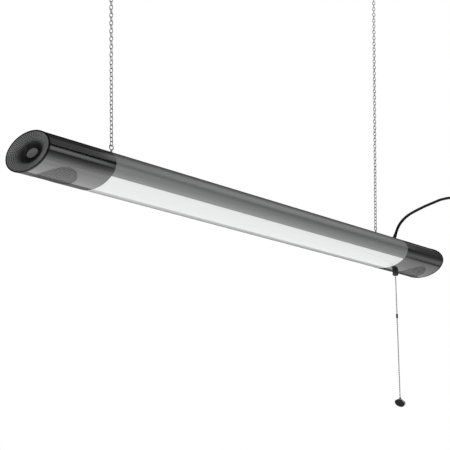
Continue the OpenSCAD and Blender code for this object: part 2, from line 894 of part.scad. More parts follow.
// Pull switch

module switch_bushing() {
    color([0.03, 0.03, 0.03])
        on_lamp() translate([switch_x, 0, 0]) rotate_extrude() polygon([
            [bushing_bore_r, switch_floor_z], [neck_r, switch_floor_z],
            [neck_r, bushing_top_z - bushing_seat], [bushing_d/2, bushing_top_z - bushing_seat],
            [bushing_d/2, bushing_bot_z + bushing_edge], [bushing_d/2 - bushing_edge, bushing_bot_z],
            [bushing_mouth_r, bushing_bot_z], [bushing_bore_r, bushing_bot_z + bushing_mouth_r]
        ]);
}

module switch_nut() {
    color([0.65, 0.66, 0.67])
        on_lamp() translate([switch_x, 0, -cap_in_h + fit_gap])
            hex_nut(switch_nut_d, switch_nut_h, neck_r + slide_gap);
}

module switch_body() {
    color([0.12, 0.12, 0.13])
        on_lamp() translate([switch_x, 0, switch_floor_z]) difference() {
            translate([-switch_size[0]/2, -switch_size[1]/2, 0]) cube(switch_size);
            translate([0, 0, -over])
                cylinder(r = plunger_r + slide_gap, h = plunger_top + plunger_room + over);
        }
}

module pull_plunger() {
    color([0.75, 0.65, 0.35])
        on_lamp() translate([switch_x, 0, pull_axis_z + plunger_tail])
            cylinder(r = plunger_r, h = switch_floor_z + plunger_top - pull_axis_z - plunger_tail);
}

// Half outline of n balls on a wire, from height z0 down to z1
wire_t = acos(wire_r/ball_r);
function ball_outline(z0, z1, n) = concat(
    [[0, z0 + ball_r]],
    [for (i = [0:n - 1]) each [for (k = [0:ball_arc_n])
        let (t = wire_t - 2*wire_t*k/ball_arc_n)
        [ball_r*cos(t), z0 + (z1 - z0)*i/(n - 1) + ball_r*sin(t)]]],
    [[0, z1 - ball_r]]
);

module ball_chain(z0, z1) {
    n = round((z0 - z1)/ball_pitch) + 1;
    color([0.62, 0.63, 0.64])
        on_lamp() translate([switch_x, 0, 0]) rotate_extrude($fn = 24) polygon(ball_outline(z0, z1, n));
}

module pull_chain_upper() {
    ball_chain(pull_axis_z, upper_end_z);
}

module chain_connector() {
    color([0.05, 0.05, 0.05])
        on_lamp() translate([switch_x, 0, 0]) difference() {
            translate([0, 0, connector_top_z - connector_l]) cylinder(r = connector_r, h = connector_l);
            translate([0, 0, upper_end_z - ball_r - slide_gap/2])
                cylinder(r = connector_bore_r, h = 2*ball_d);
        }
}

module pull_chain_lower() {
    ball_chain(lower_start_z, lower_end_z);
}

module on_knob() {
    on_lamp() translate([switch_x, 0, knob_z]) rotate([0, 0, knob_turn]) rotate([0, knob_tilt, 0])
        rotate([0, -90, 0]) rotate([0, 0, knob_roll]) children();
}

// A layer of the knob, drawn in by an inset, from one height to another
module knob_layer(inset, z0, z1) {
    translate([0, 0, z0 - knob_t/2]) linear_extrude(height = z1 - z0)
        polygon([for (i = [0:knob_n - 1]) oval_point(knob_h/2 - inset, knob_w/2 - inset, 360*i/knob_n)]);
}

module knob_barrel() {
    h = knob_t - knob_face_t;
    color([0.7, 0.71, 0.72])
        difference() {
            union() {
                on_knob() {
                    knob_layer(groove, 0, groove);
                    knob_layer(knob_lip, groove, h/2 - groove/2);
                    knob_layer(knob_lip + groove, h/2 - groove/2, h/2 + groove/2);
                    knob_layer(knob_lip, h/2 + groove/2, h);
                }
                on_lamp() translate([switch_x, 0, knob_z])
                    cylinder(r = ferrule_r, h = lower_end_z + ball_r + ferrule_wall - knob_z);
            }
            on_lamp() translate([switch_x, 0, lower_end_z]) {
                sphere(r = ball_r + slide_gap);
                cylinder(r = wire_r + fit_gap, h = ferrule_h);
            }
        }
}

module knob_face() {
    color([0.02, 0.02, 0.02])
        on_knob() difference() {
            union() {
                knob_layer(0, knob_t - knob_face_t, knob_t - knob_lip/2);
                knob_layer(knob_lip/2, knob_t - knob_lip/2, knob_t);
            }
            knob_layer(knob_rim, knob_t - knob_dish, knob_t + knob_dish);
        }
}

// Power cord

module cord_strain_relief() {
    run = norm([cord_route[0][0] - relief_x, cord_route[0][1] - relief_z]);
    inside_z = cap_in_h - fit_gap;
    color([0.03, 0.03, 0.03])
        on_lamp() {
            translate([relief_x, 0, 0]) rotate_extrude() polygon([
                [0, inside_z - relief_inner_t], [relief_flange_r, inside_z - relief_inner_t],
                [relief_flange_r, inside_z], [relief_neck_r, inside_z],
                [relief_neck_r, half_h + relief_seat], [relief_flange_r, half_h + relief_seat],
                [relief_flange_r - relief_flange_t/2, relief_z], [0, relief_z]
            ]);
            translate([relief_x, 0, relief_z]) rotate([0, relief_angle, 0])
                cylinder(r1 = relief_root_r, r2 = relief_tip_r, h = run);
        }
}

free_path = [for (p = cord_route) [p[0], 0, p[1]]];

// A point of the coil after the given number of turns
function coil_point(turn) = let (
    climb = min(1, max(0, (turn - coil_in)/coil_climb)),
    out = max(0, turn - coil_in - coil_climb),
    r = coil_r - coil_step*min(turn, coil_in) + coil_step*out - coil_dip*sin(180*climb),
    t = coil_phase - 360*turn)
    [coil_centre[0] + r*cos(t), coil_step*(1 - cos(180*climb))/2, coil_centre[1] + r*sin(t)];

coil_points = concat([for (i = [0:coil_n]) coil_point(i/coil_rings)], [coil_point(coil_turns)]);
coil_path = concat([[cord_route[route_n - 1][0], 0, cord_route[route_n - 1][1]]], coil_points, [plug_end]);

// Least gap of the coil to itself, between points at least half a loop apart
echo(coil_self_gap = min([for (i = [0:coil_n]) for (j = [i + coil_rings/2:1:coil_n])
    norm(coil_points[i] - coil_points[j])]) - cord_d);

module power_cord() {
    color([0.02, 0.02, 0.02])
        on_lamp() tube(free_path, cord_r, cord_sides,
            [cord_first[0], 0, cord_first[1]], [cord_last[0], 0, cord_last[1]]);
}

module cord_coil() {
    color([0.03, 0.03, 0.03])
        on_lamp() tube(coil_path, cord_r, coil_sides, [cord_last[0], 0, cord_last[1]], [0, 0, -1]);
}

module cord_tie() {
    loops_in = coil_r - coil_step*coil_in - cord_r - tie_gap;
    loops_out = coil_r + cord_r - coil_step/2 + tie_gap;
    depth = coil_step/2 + cord_r + tie_gap;
    color([0.1, 0.1, 0.1])
        on_lamp() translate([coil_centre[0], coil_step/2, coil_centre[1] - tie_h/2])
            difference() {
                translate([-loops_out - tie_t, -depth - tie_t, 0])
                    cube([loops_out - loops_in + 2*tie_t, 2*(depth + tie_t), tie_h]);
                translate([-loops_out, -depth, -over])
                    cube([loops_out - loops_in, 2*depth, tie_h + 2*over]);
            }
}

module plug_body() {
    w = plug_size[0]/2;
    d = plug_size[1]/2;
    c = plug_chamfer;
    color([0.03, 0.03, 0.03])
        on_lamp() translate(plug_end) {
            translate([0, 0, -plug_relief_l])
                cylinder(r1 = plug_relief_r, r2 = plug_relief_tip, h = plug_relief_l);
            translate([plug_shift, 0, -plug_relief_l - plug_size[2]])
                linear_extrude(height = plug_size[2]) polygon([
                    [-w + c, -d], [w - c, -d], [w, -d + c], [w, d - c],
                    [w - c, d], [-w + c, d], [-w, d - c], [-w, -d + c]
                ]);
        }
}

module plug_blades() {
    z = -plug_relief_l - plug_size[2];
    color([0.8, 0.7, 0.45])
        on_lamp() translate(plug_end + [plug_shift, 0, z]) {
            for (side = [-1, 1])
                translate([blade_shift - blade[0]/2, side*blade_gap/2 - blade[1]/2, -blade[2]]) cube(blade);
            translate([ground_shift, 0, -ground_l]) cylinder(r = ground_r, h = ground_l);
        }
}

ceiling_hook(-1);  // left_ceiling_hook
ceiling_hook(1);  // right_ceiling_hook
chain(-1);  // left_chain
chain(1);  // right_chain
hanger_eye(-1);  // left_hanger_eye
hanger_eye(1);  // right_hanger_eye
eye_nuts();
housing_shell();
diffuser_lens();
led_tray();
led_board(-1);  // front_led_board
led_board(1);  // rear_led_board
led_chips();
tray_brackets();
tray_screws();
led_driver();
amplifier_board();
board_standoffs();
end_cap(-1);  // left_end_cap
end_cap(1);  // right_end_cap
cap_screws();
trim_ring(-1);  // left_trim_ring
trim_ring(1);  // right_trim_ring
end_grille(-1);  // left_end_grille
end_grille(1);  // right_end_grille
centre_disc(-1);  // left_centre_disc
centre_disc(1);  // right_centre_disc
port_grille(-1);  // left_port_grille
port_grille(1);  // right_port_grille
baffle(-1);  // left_baffle
baffle(1);  // right_baffle
speaker_basket(-1);  // left_speaker_basket
speaker_basket(1);  // right_speaker_basket
speaker_magnet(-1);  // left_speaker_magnet
speaker_magnet(1);  // right_speaker_magnet
speaker_cone(-1);  // left_speaker_cone
speaker_cone(1);  // right_speaker_cone
speaker_screws();
bulkhead(-1);  // left_bulkhead
bulkhead(1);  // right_bulkhead
mains_lead();
speaker_lead(-1);  // left_speaker_lead
speaker_lead(1);  // right_speaker_lead
switch_body();
switch_bushing();
switch_nut();
pull_plunger();
pull_chain_upper();
chain_connector();
pull_chain_lower();
knob_barrel();
knob_face();
cord_strain_relief();
power_cord();
cord_coil();
cord_tie();
plug_body();
plug_blades();
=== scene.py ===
"""Hanging shop light with a speaker in each end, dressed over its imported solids."""

import logging
import math
from dataclasses import dataclass, field, replace
from enum import Enum
from typing import Any, Iterable, Sequence, TypeAlias

import bmesh
import bpy
from mathutils import Matrix, Vector


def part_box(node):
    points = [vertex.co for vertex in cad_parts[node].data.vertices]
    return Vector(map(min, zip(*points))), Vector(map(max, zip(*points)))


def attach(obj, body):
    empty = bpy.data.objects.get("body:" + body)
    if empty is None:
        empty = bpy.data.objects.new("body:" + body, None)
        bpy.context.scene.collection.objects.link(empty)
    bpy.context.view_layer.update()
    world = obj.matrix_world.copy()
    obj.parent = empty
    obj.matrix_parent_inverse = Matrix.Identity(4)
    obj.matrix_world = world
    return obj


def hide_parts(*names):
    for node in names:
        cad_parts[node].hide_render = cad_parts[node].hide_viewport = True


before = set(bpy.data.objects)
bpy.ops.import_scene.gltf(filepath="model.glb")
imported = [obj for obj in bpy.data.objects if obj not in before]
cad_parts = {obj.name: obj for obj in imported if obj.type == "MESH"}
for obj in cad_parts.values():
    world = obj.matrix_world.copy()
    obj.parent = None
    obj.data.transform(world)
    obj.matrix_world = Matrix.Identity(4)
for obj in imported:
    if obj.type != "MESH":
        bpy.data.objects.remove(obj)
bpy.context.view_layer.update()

# A millimetre in metres, and the drop to the lamp in millimetres.
MM = 0.001
DROP = 720.0
# Vertices nearer than these join.
MERGE = 0.002 * MM
SEAM_MERGE = 0.004 * MM
# Under FLAT two faces are one, over BROKEN an edge is rounded, over CREASE degrees it is sharp.
FLAT = math.radians(0.5)
BROKEN = math.radians(40)
CREASE = 35.0
# Nearness of a point to an oval, and agreement of two directions.
ON_OVAL = 0.004
ALIKE = 0.9
WHITE_LIGHT = (1.0, 1.0, 1.0, 1.0)
DUST = (0.42, 0.41, 0.39, 1.0)
PALE_DUST = (0.5, 0.5, 0.48, 1.0)
NOISE_FALL = 0.55
log = logging.getLogger("shop_light")

Pair: TypeAlias = tuple[float, float]
Triple: TypeAlias = tuple[float, float, float]
Noise: TypeAlias = tuple[float, float, Triple]
Value: TypeAlias = "float | Signal"
Mesh: TypeAlias = bmesh.types.BMesh
Piece: TypeAlias = bpy.types.Object


class Body(Enum):
    """Bodies that pieces ride on."""

    HOOKS = "ceiling_hooks"
    CHAINS = "chains"
    LAMP = "lamp"
    UPPER_PULL = "upper_pull_chain"
    LOWER_PULL = "lower_pull_chain"
    KNOB = "knob"


class End(Enum):
    """The two ends of the lamp."""

    LEFT = -1
    RIGHT = 1

    @property
    def word(self) -> str:
        """Name of the end as the nodes spell it."""
        return self.name.lower()


def row(x: float, y: float, z: float) -> Vector:
    """Turns a place on the lamp into the row frame.

    Args:
        x: Distance along the lamp from its middle, in millimetres.
        y: Distance towards its back.
        z: Height above its axis.

    Returns:
        The place in metres, below the ceiling.
    """
    return Vector((x, y, z - DROP)) * MM


@dataclass(frozen=True)
class Signal:
    """A shader socket that arithmetic can be written on."""

    graph: "Graph"
    socket: bpy.types.NodeSocket

    def _maths(self, operation: str, first: Value, second: Value) -> "Signal":
        """Adds one Math node."""
        return self.graph.node("Math", {"operation": operation}, {0: first, 1: second})

    def __add__(self, other: Value) -> "Signal":
        """Sum."""
        return self._maths("ADD", self, other)

    def __radd__(self, other: Value) -> "Signal":
        """Sum, reflected."""
        return self._maths("ADD", other, self)

    def __mul__(self, other: Value) -> "Signal":
        """Product."""
        return self._maths("MULTIPLY", self, other)

    def __rmul__(self, other: Value) -> "Signal":
        """Product, reflected."""
        return self._maths("MULTIPLY", other, self)


class Graph:
    """A node tree that is being filled, of a material or of the world."""

    def __init__(self, owner: bpy.types.ID) -> None:
        """Empties the owner's tree.

        Args:
            owner: The material or world.
        """
        owner.use_nodes = True
        self.tree = owner.node_tree
        self.tree.nodes.clear()

    def node(
        self,
        kind: str,
        settings: dict[str, Any] | None = None,
        inputs: dict[int | str, Any] | None = None,
        output: int | str = 0,
    ) -> Signal:
        """Adds a node and joins its sockets.

        Args:
            kind: Type of node, without its prefix.
            settings: Properties set first.
            inputs: Values or signals by socket name or number.
            output: Socket that the result stands for.

        Returns:
            The chosen output.
        """
        made = self.tree.nodes.new("ShaderNode" + kind)
        for key, value in (settings or {}).items():
            setattr(made, key, value)
        for key, value in (inputs or {}).items():
            if isinstance(value, Signal):
                self.tree.links.new(value.socket, made.inputs[key])
            else:
                made.inputs[key].default_value = value
        return Signal(self, made.outputs[output] if made.outputs else None)

    def noise(self, scale: float, detail: float = 2.0, stretch: Triple = (1, 1, 1)) -> Signal:
        """Noise on the piece's own coordinates.

        Args:
            scale: Noise scale per metre.
            detail: Octaves.
            stretch: Scale along each axis.

        Returns:
            A value from 0 to 1.
        """
        place = self.node("TexCoord", output="Object")
        drawn = self.node("Mapping", None, {"Vector": place, "Scale": stretch})
        inputs = {"Vector": drawn, "Scale": scale, "Detail": detail, "Roughness": NOISE_FALL}
        return self.node("TexNoise", None, inputs)

    def ramp(self, value: Signal, low: float, high: float) -> Signal:
        """Maps a value so that low gives 0 and high gives 1, clamped."""
        return self.node("MapRange", None, {"Value": value, "From Min": low, "From Max": high})

    def blend(self, share: Value, first: Any, second: Any) -> Signal:
        """Mixes two colours by a share."""
        return self.node("Mix", {"data_type": "RGBA"}, {0: share, 6: first, 7: second}, output=2)

    def bump(self, height: Signal, depth: float) -> Signal:
        """Turns a height into a normal, depth being in metres."""
        inputs = {"Height": height, "Distance": depth, "Strength": 1.0}
        return self.node("Bump", None, inputs, "Normal")

    def surface(self, **sockets: Any) -> None:
        """Ends the material in a Principled shader.

        Args:
            sockets: Socket names with underscores for spaces.
        """
        named = {key.replace("_", " "): value for key, value in sockets.items()}
        shader = self.node("BsdfPrincipled", None, named)
        self.node("OutputMaterial", None, {"Surface": shader})


def tint(colour: Triple, share: float) -> tuple[float, float, float, float]:
    """Scales a colour by a share and adds its alpha."""
    return (colour[0] * share, colour[1] * share, colour[2] * share, 1.0)


@dataclass(frozen=True)
class Finish:
    """A finish that a material is made from."""

    name: str
    slot: str
    colour: Triple
    roughness: float = 0.4

    def material(self) -> bpy.types.Material:
        """Makes the finish's material once.

        Returns:
            The material.
        """
        made = bpy.data.materials.get(self.name)
        if made is None:
            made = bpy.data.materials.new(self.name)
            made.diffuse_color = tint(self.colour, 1.0)
            self.shade(Graph(made))
        return made

    def between_tints(self, graph: Graph, share: Signal, low: float, high: float) -> Signal:
        """The finish's colour between two tints by a share: random tone; in the gauze, painted shade.
        """
        return graph.blend(share, tint(self.colour, low), tint(self.colour, high))

    def shade(self, graph: Graph) -> None:
        """Fills the material's tree."""
        raise NotImplementedError


@dataclass(frozen=True)
class Moulding(Finish):
    """Moulded plastic or rubber: a fine grain, flow marks and a little dust.

    Noise is scale per metre, octaves and stretch. Depths are in metres.
    """

    grain: float = 900.0
    depth: float = 0.00002
    dust: float = 0.25
    swing: float = 0.12
    shine: float = 0.5
    index: float = 1.5
    flow: Noise = (7.0, 2.0, (0.4, 1.0, 1.0))
    flow_gloss: float = 0.16
    speck: Pair = (260.0, 4.0)
    speck_range: Pair = (0.62, 0.74)
    dust_tint: float = 0.12
    dust_dull: float = 0.1

    def shade(self, graph: Graph) -> None:
        """Fills the material's tree."""
        flow = graph.noise(*self.flow)
        grain = graph.noise(self.grain)
        specks = graph.ramp(graph.noise(*self.speck), *self.speck_range)
        shade = self.between_tints(graph, flow, 1.0 - self.swing, 1.0 + self.swing)
        gloss = (1.0 - self.flow_gloss / 2) + flow * self.flow_gloss
        graph.surface(
            Base_Color=graph.blend(specks * (self.dust * self.dust_tint), shade, DUST),
            Roughness=self.roughness * gloss + specks * (self.dust * self.dust_dull),
            Normal=graph.bump(grain, self.depth),
            Specular_IOR_Level=self.shine,
            IOR=self.index,
        )


@dataclass(frozen=True)
class Paint(Finish):
    """Powder coat on sheet steel: orange peel, soft cloudiness and fine dust."""

    peel: float = 0.00003
    metallic: float = 0.0
    peel_scale: float = 420.0
    cloud: Noise = (5.0, 2.0, (0.3, 1.0, 1.0))
    cloud_tint: Pair = (0.95, 1.05)
    cloud_dull: float = 0.05
    speck: Pair = (700.0, 3.0)
    speck_range: Pair = (0.66, 0.76)
    speck_tint: float = 0.08

    def shade(self, graph: Graph) -> None:
        """Fills the material's tree."""
        cloud = graph.noise(*self.cloud)
        peel = graph.noise(self.peel_scale)
        specks = graph.ramp(graph.noise(*self.speck), *self.speck_range)
        shade = self.between_tints(graph, cloud, *self.cloud_tint)
        graph.surface(
            Base_Color=graph.blend(specks * self.speck_tint, shade, PALE_DUST),
            Roughness=self.roughness + cloud * self.cloud_dull,
            Metallic=self.metallic,
            Normal=graph.bump(peel, self.peel),
        )


@dataclass(frozen=True)
class Gauze(Paint):
    """Coat on pierced sheet, with painted shade that darkens it down in its throat.

    Its colour is full beyond the place rim along the lamp and painted dark short of the place throat.
    """

    rim: float = 604.6
    throat: float = 600.2
    # Share of the colour kept down in the throat: painted shade standing in for the shade in the dish.
    throat_painted_shade: float = 0.06

    def shade(self, graph: Graph) -> None:
        """Fills the material's tree."""
        place = graph.node("TexCoord", output="Object")
        along = graph.node("SeparateXYZ", None, {"Vector": place}, output="X")
        out = graph.node("Math", {"operation": "ABSOLUTE"}, {0: along})
        lit = graph.node(
            "MapRange", {"interpolation_type": "SMOOTHSTEP"},
            {"Value": out, "From Min": self.throat * MM, "From Max": self.rim * MM},
        )
        # Painted shade: the colour falls from full at the rim to a small share in the throat.
        graph.surface(
            Base_Color=self.between_tints(graph, lit, self.throat_painted_shade, 1.0),
            Roughness=self.roughness,
            Normal=graph.bump(graph.noise(self.peel_scale), self.peel),
        )


@dataclass(frozen=True)
class Plated(Finish):
    """Plated or bare metal with drawn streaks, dull patches and a few dark pits."""

    streak: Noise = (1400.0, 3.0, (1.0, 1.0, 0.15))
    streak_depth: float = 0.00001
    patch: Pair = (90.0, 3.0)
    patch_tint: Pair = (0.8, 1.12)
    patch_dull: Pair = (0.75, 0.5)
    pit: float = 1900.0
    pit_range: Pair = (0.68, 0.78)
    pit_tint: float = 0.35
    pit_share: float = 0.5

    def shade(self, graph: Graph) -> None:
        """Fills the material's tree."""
        streaks = graph.noise(*self.streak)
        patches = graph.noise(*self.patch)
        pits = graph.ramp(graph.noise(self.pit), *self.pit_range)
        metal = self.between_tints(graph, patches, *self.patch_tint)
        least, more = (self.roughness * share for share in self.patch_dull)
        graph.surface(
            Base_Color=graph.blend(pits * self.pit_share, metal, tint(self.colour, self.pit_tint)),
            Roughness=least + patches * more,
            Metallic=1.0,
            Normal=graph.bump(streaks, self.streak_depth),
        )


@dataclass(frozen=True)
class Opal(Finish):
    """Extruded opal acrylic: clean gloss over a milky body, faint die lines along it."""

    line: Noise = (500.0, 2.0, (0.004, 1.0, 1.0))
    line_depth: float = 0.000004
    line_dull: float = 0.015
    cloud: Noise = (6.0, 2.0, (0.3, 1.0, 1.0))
    cloud_tint: Pair = (0.985, 1.0)

    def shade(self, graph: Graph) -> None:
        """Fills the material's tree."""
        lines = graph.noise(*self.line)
        cloud = graph.noise(*self.cloud)
        graph.surface(
            Base_Color=self.between_tints(graph, cloud, *self.cloud_tint),
            Roughness=self.roughness + lines * self.line_dull,
            Normal=graph.bump(lines, self.line_depth),
        )


CHARCOAL = Moulding(
    "charcoal_moulding", "charcoal_plastic", (0.007, 0.0075, 0.0075), 0.11,
    grain=700.0, depth=0.000002, dust=0.05, shine=1.0, index=1.8,
)
PORT = replace(CHARCOAL, name="port_moulding", roughness=0.2)
DISC = Moulding("disc_moulding", "disc_plastic", (0.09, 0.091, 0.093), 0.3)
BLACK_GLOSS = Moulding(
    "black_gloss_moulding", "black_gloss", (0.004, 0.004, 0.004), 0.22, dust=0.05, shine=0.2,
)
BUSHING = Moulding("bushing_moulding", "black_gloss", (0.025, 0.025, 0.026), 0.35)
INNER_BLACK = Moulding("inner_moulding", "inner_plastic", (0.03, 0.03, 0.032), 0.5)
CORD_SKIN = Moulding(
    "cord_rubber", "cord_black", (0.006, 0.006, 0.006), 0.55,
    grain=1600.0, depth=0.00003, dust=0.1, shine=0.2,
)
RELIEF_SKIN = Moulding("relief_rubber", "relief_black", (0.012, 0.012, 0.012), 0.45)
TIE_SKIN = Moulding(
    "tie_rubber", "tie_black", (0.018, 0.018, 0.018), 0.6, grain=1200.0, depth=0.00006,
)
PLUG_SKIN = Moulding("plug_rubber", "plug_black", (0.012, 0.012, 0.012), 0.42)
WIRE_SKIN = Moulding("speaker_wire_skin", "speaker_wire", (0.012, 0.012, 0.012), 0.4)
CONE = Moulding(
    "cone_fibre", "cone_paper", (0.012, 0.012, 0.012), 0.85, grain=300.0, depth=0.0002, swing=0.2,
)
BAFFLE = Moulding(
    "baffle_face", "baffle_board", (0.012, 0.012, 0.012), 0.8, grain=160.0, depth=0.0001, swing=0.3,
)
CIRCUIT = Moulding(
    "circuit_mask", "circuit_board", (0.02, 0.16, 0.06), 0.3, grain=500.0, depth=0.00003,
)
LIGHT_SOURCE = Moulding("light_source_gel", "light_source", (0.85, 0.75, 0.35), 0.2)
# The grille's colour carries painted shade, darker down in the dish's throat.
GRILLE = Gauze("grille_coat_with_painted_shade", "grille_black", (0.19, 0.192, 0.194), 0.4)
HOUSING = Paint(
    "housing_coat", "grey_paint", (0.27, 0.277, 0.272), 0.3, peel=0.000008, metallic=0.5,
)
WHITE = Paint("tray_coat", "white_paint", (0.86, 0.86, 0.85), 0.3)
BOARD = Paint("light_board_mask", "light_board", (0.84, 0.86, 0.84), 0.35)
SPEAKER_FRAME = Paint("basket_coat", "speaker_frame", (0.02, 0.02, 0.02), 0.45)
BLACK_SCREW = Plated("black_oxide", "black_screw", (0.03, 0.03, 0.03), 0.4)
LENS = Opal("opal_acrylic", "white_diffuser", (0.63, 0.645, 0.64), 0.05)
HOOK = Plated("hook_zinc", "hook_steel", (0.6, 0.61, 0.62), 0.32)
CHAIN = Plated("chain_zinc", "chain_steel", (0.66, 0.66, 0.665), 0.36)
EYE = Plated("eye_zinc", "eye_steel", (0.56, 0.56, 0.565), 0.34)
STEEL = Plated("bright_zinc", "bright_steel", (0.6, 0.61, 0.62), 0.3)
BALLS = Plated("ball_nickel", "ball_steel", (0.3, 0.302, 0.305), 0.24)
KNOB_METAL = Plated("knob_aluminium", "knob_metal", (0.68, 0.69, 0.7), 0.25)
DRIVER = Plated("driver_sheet", "driver_case", (0.62, 0.63, 0.64), 0.35)
BRASS = Plated("brass_fittings", "standoff_brass", (0.75, 0.58, 0.28), 0.28)
BLADE = Plated("blade_plating", "blade_metal", (0.7, 0.66, 0.52), 0.22)
MAGNET = Plated("magnet_plating", "magnet_steel", (0.25, 0.25, 0.26), 0.4)


@dataclass(frozen=True)
class Oval:
    """An upright oval section, in millimetres."""

    half_width: float
    half_height: float

    def shrunk(self, inset: float) -> "Oval":
        """The same oval drawn in on every side."""
        return Oval(self.half_width - inset, self.half_height - inset)

    def floor(self, y: float) -> float:
        """Height of the oval's underside at a place across it."""
        share = max(0.0, 1.0 - (y / self.half_width) ** 2)
        return -self.half_height * math.sqrt(share)

    def off(self, y: float, z: float) -> float:
        """How far a point lies off the oval, as a share."""
        return abs((y / self.half_width) ** 2 + (z / self.half_height) ** 2 - 1.0)

    def normal(self, y: float, z: float) -> Vector:
        """Outward normal at a point of the oval."""
        return Vector((0.0, y / self.half_width**2, z / self.half_height**2)).normalized()


SKIN = Oval(63.5, 36.5)


def placed(name: str, data: Any) -> Piece:
    """Adds an object to the scene.

    Args:
        name: Its name.
        data: Its mesh, curve, lamp or camera.

    Returns:
        The object.
    """
    made = bpy.data.objects.new(name, data)
    bpy.context.scene.collection.objects.link(made)
    return made


def settled(bm: Mesh, name: str) -> bpy.types.Mesh:
    """Writes a worked mesh out and frees it.

    Args:
        bm: The mesh.
        name: Name of what it becomes.

    Returns:
        The finished mesh.
    """
    mesh = bpy.data.meshes.new(name)
    bm.to_mesh(mesh)
    bm.free()
    return mesh


def smooth(bm: Mesh, angle: float) -> None:
    """Shades faces smooth and keeps edges above the angle sharp.

    Args:
        bm: The mesh.
        angle: Degrees between faces above which an edge stays sharp.
    """
    limit = math.radians(angle)
    for face in bm.faces:
        face.smooth = True
    for edge in bm.edges:
        edge.smooth = edge.is_manifold and edge.calc_face_angle(0.0) < limit


def oval_normals(mesh: bpy.types.Mesh, oval: Oval) -> None:
    """Gives faces that lie on an oval the oval's true normals.

    Args:
        mesh: The mesh, in the row frame.
        oval: The section it should follow.
    """
    normals = [corner.vector.copy() for corner in mesh.corner_normals]
    for face in mesh.polygons:
        points = [mesh.vertices[index].co / MM for index in face.vertices]
        if all(oval.off(point.y, point.z + DROP) < ON_OVAL for point in points):
            for loop, point in zip(face.loop_indices, points):
                normal = oval.normal(point.y, point.z + DROP)
                if normal.dot(face.normal) > ALIKE:
                    normals[loop] = normal
    mesh.normals_split_custom_set([tuple(normal) for normal in normals])


def finished(
    bm: Mesh,
    name: str,
    finish: Finish,
    node: str,
    body: Body = Body.LAMP,
    angle: float = CREASE,
    oval: Oval | None = None,
) -> Piece:
    """Turns a mesh into a dressed piece that rides on its body.

    Args:
        bm: The mesh, in metres in the row frame. It is freed.
        name: Name of the piece.
        finish: Its finish.
        node: Solid that it stands for.
        body: Body it rides on.
        angle: Degrees above which an edge stays sharp.
        oval: Section whose true normals its outside takes.

    Returns:
        The piece.
    """
    smooth(bm, angle)
    mesh = settled(bm, name)
    if oval is not None:
        oval_normals(mesh, oval)
    piece = placed(name, mesh)
    mesh.materials.append(finish.material())
    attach(piece, body.value)
    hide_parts(node)
    log.info("%s: %d faces", name, len(mesh.polygons))
    return piece


def solid_copy(node: str) -> Mesh:
    """Copies a solid's mesh and merges it.

    Args:
        node: The solid.

    Returns:
        The copy.
    """
    bm = bmesh.new()
    bm.from_mesh(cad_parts[node].data)
    bmesh.ops.remove_doubles(bm, verts=bm.verts, dist=MERGE)
    return bm


def bevelled(
    bm: Mesh, geom: Sequence[Any], width: float, segments: int, affect: str = "EDGES"
) -> None:
    """Rounds edges or cuts corners.

    Args:
        bm: The mesh.
        geom: Its edges or corners to work on.
        width: Width of the bevel, in millimetres.
        segments: Faces across it.
        affect: EDGES or VERTICES.
    """
    bmesh.ops.bevel(
        bm, geom=geom, offset=width * MM, segments=segments, affect=affect,
        profile=0.5, clamp_overlap=True, material=-1,
    )


def break_edges(bm: Mesh, width: float, segments: int) -> None:
    """Clears flat faces of edges and rounds the sharp ones.

    Args:
        bm: The mesh.
        width: Width of the rounding, in millimetres.
        segments: Faces across it.
    """
    bmesh.ops.dissolve_limit(bm, angle_limit=FLAT, verts=bm.verts, edges=bm.edges)
    sharp = [e for e in bm.edges if e.is_manifold and e.calc_face_angle(0.0) > BROKEN]
    bevelled(bm, sharp, width, segments)


def block(size: Triple, corner: float = 0.0) -> Mesh:
    """Makes a box about the origin.

    Args:
        size: Its size, in millimetres.
        corner: Width of the rounding of its upright edges.

    Returns:
        The box, in metres.
    """
    bm = bmesh.new()
    bmesh.ops.create_cube(bm, size=1.0)
    bmesh.ops.scale(bm, vec=Vector(size) * MM, verts=bm.verts)
    if corner > 0.0:
        upright = [e for e in bm.edges if abs(e.verts[0].co.z - e.verts[1].co.z) > MM]
        bevelled(bm, upright, corner, segments=5)
    return bm


def polished(
    node: str,
    finish: Finish,
    bevel: float = 0.0,
    body: Body = Body.LAMP,
    angle: float = CREASE,
    oval: Oval | None = None,
) -> Piece:
    """Dresses a merged copy of a solid, with broken edges and smooth faces.

    Args:
        node: The solid.
        finish: Its finish.
        bevel: Width of the broken edges, in millimetres.
        body: Body it rides on.
        angle: Degrees above which an edge stays sharp.
        oval: Section whose true normals its outside takes.

    Returns:
        The piece.
    """
    bm = solid_copy(node)
    if bevel > 0.0:
        break_edges(bm, bevel, segments=2)
    return finished(bm, node + "_dressed", finish, node, body, angle, oval)


def coated(node: str, finish: Finish) -> None:
    """Gives a solid that stays in place a finish.

    Args:
        node: The solid.
        finish: Its finish.
    """
    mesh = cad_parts[node].data
    mesh.materials.clear()
    mesh.materials.append(finish.material())


def turned(outline: Sequence[Pair], steps: int = 32) -> Mesh:
    """Spins an outline round the Z axis.

    Args:
        outline: Radius and height of its points, in millimetres, from one end of the axis
            to the other.
        steps: Steps of the turn.

    Returns:
        A closed mesh, in metres.
    """
    bm = bmesh.new()
    verts = [bm.verts.new((radius * MM, 0.0, height * MM)) for radius, height in outline]
    edges = [bm.edges.new(pair) for pair in zip(verts, verts[1:])]
    bmesh.ops.spin(
        bm, geom=verts + edges, cent=(0, 0, 0), axis=(0, 0, 1),
        angle=math.tau, steps=steps, use_merge=True,
    )
    bmesh.ops.remove_doubles(bm, verts=bm.verts, dist=SEAM_MERGE)
    bmesh.ops.recalc_face_normals(bm, faces=bm.faces)
    return bm


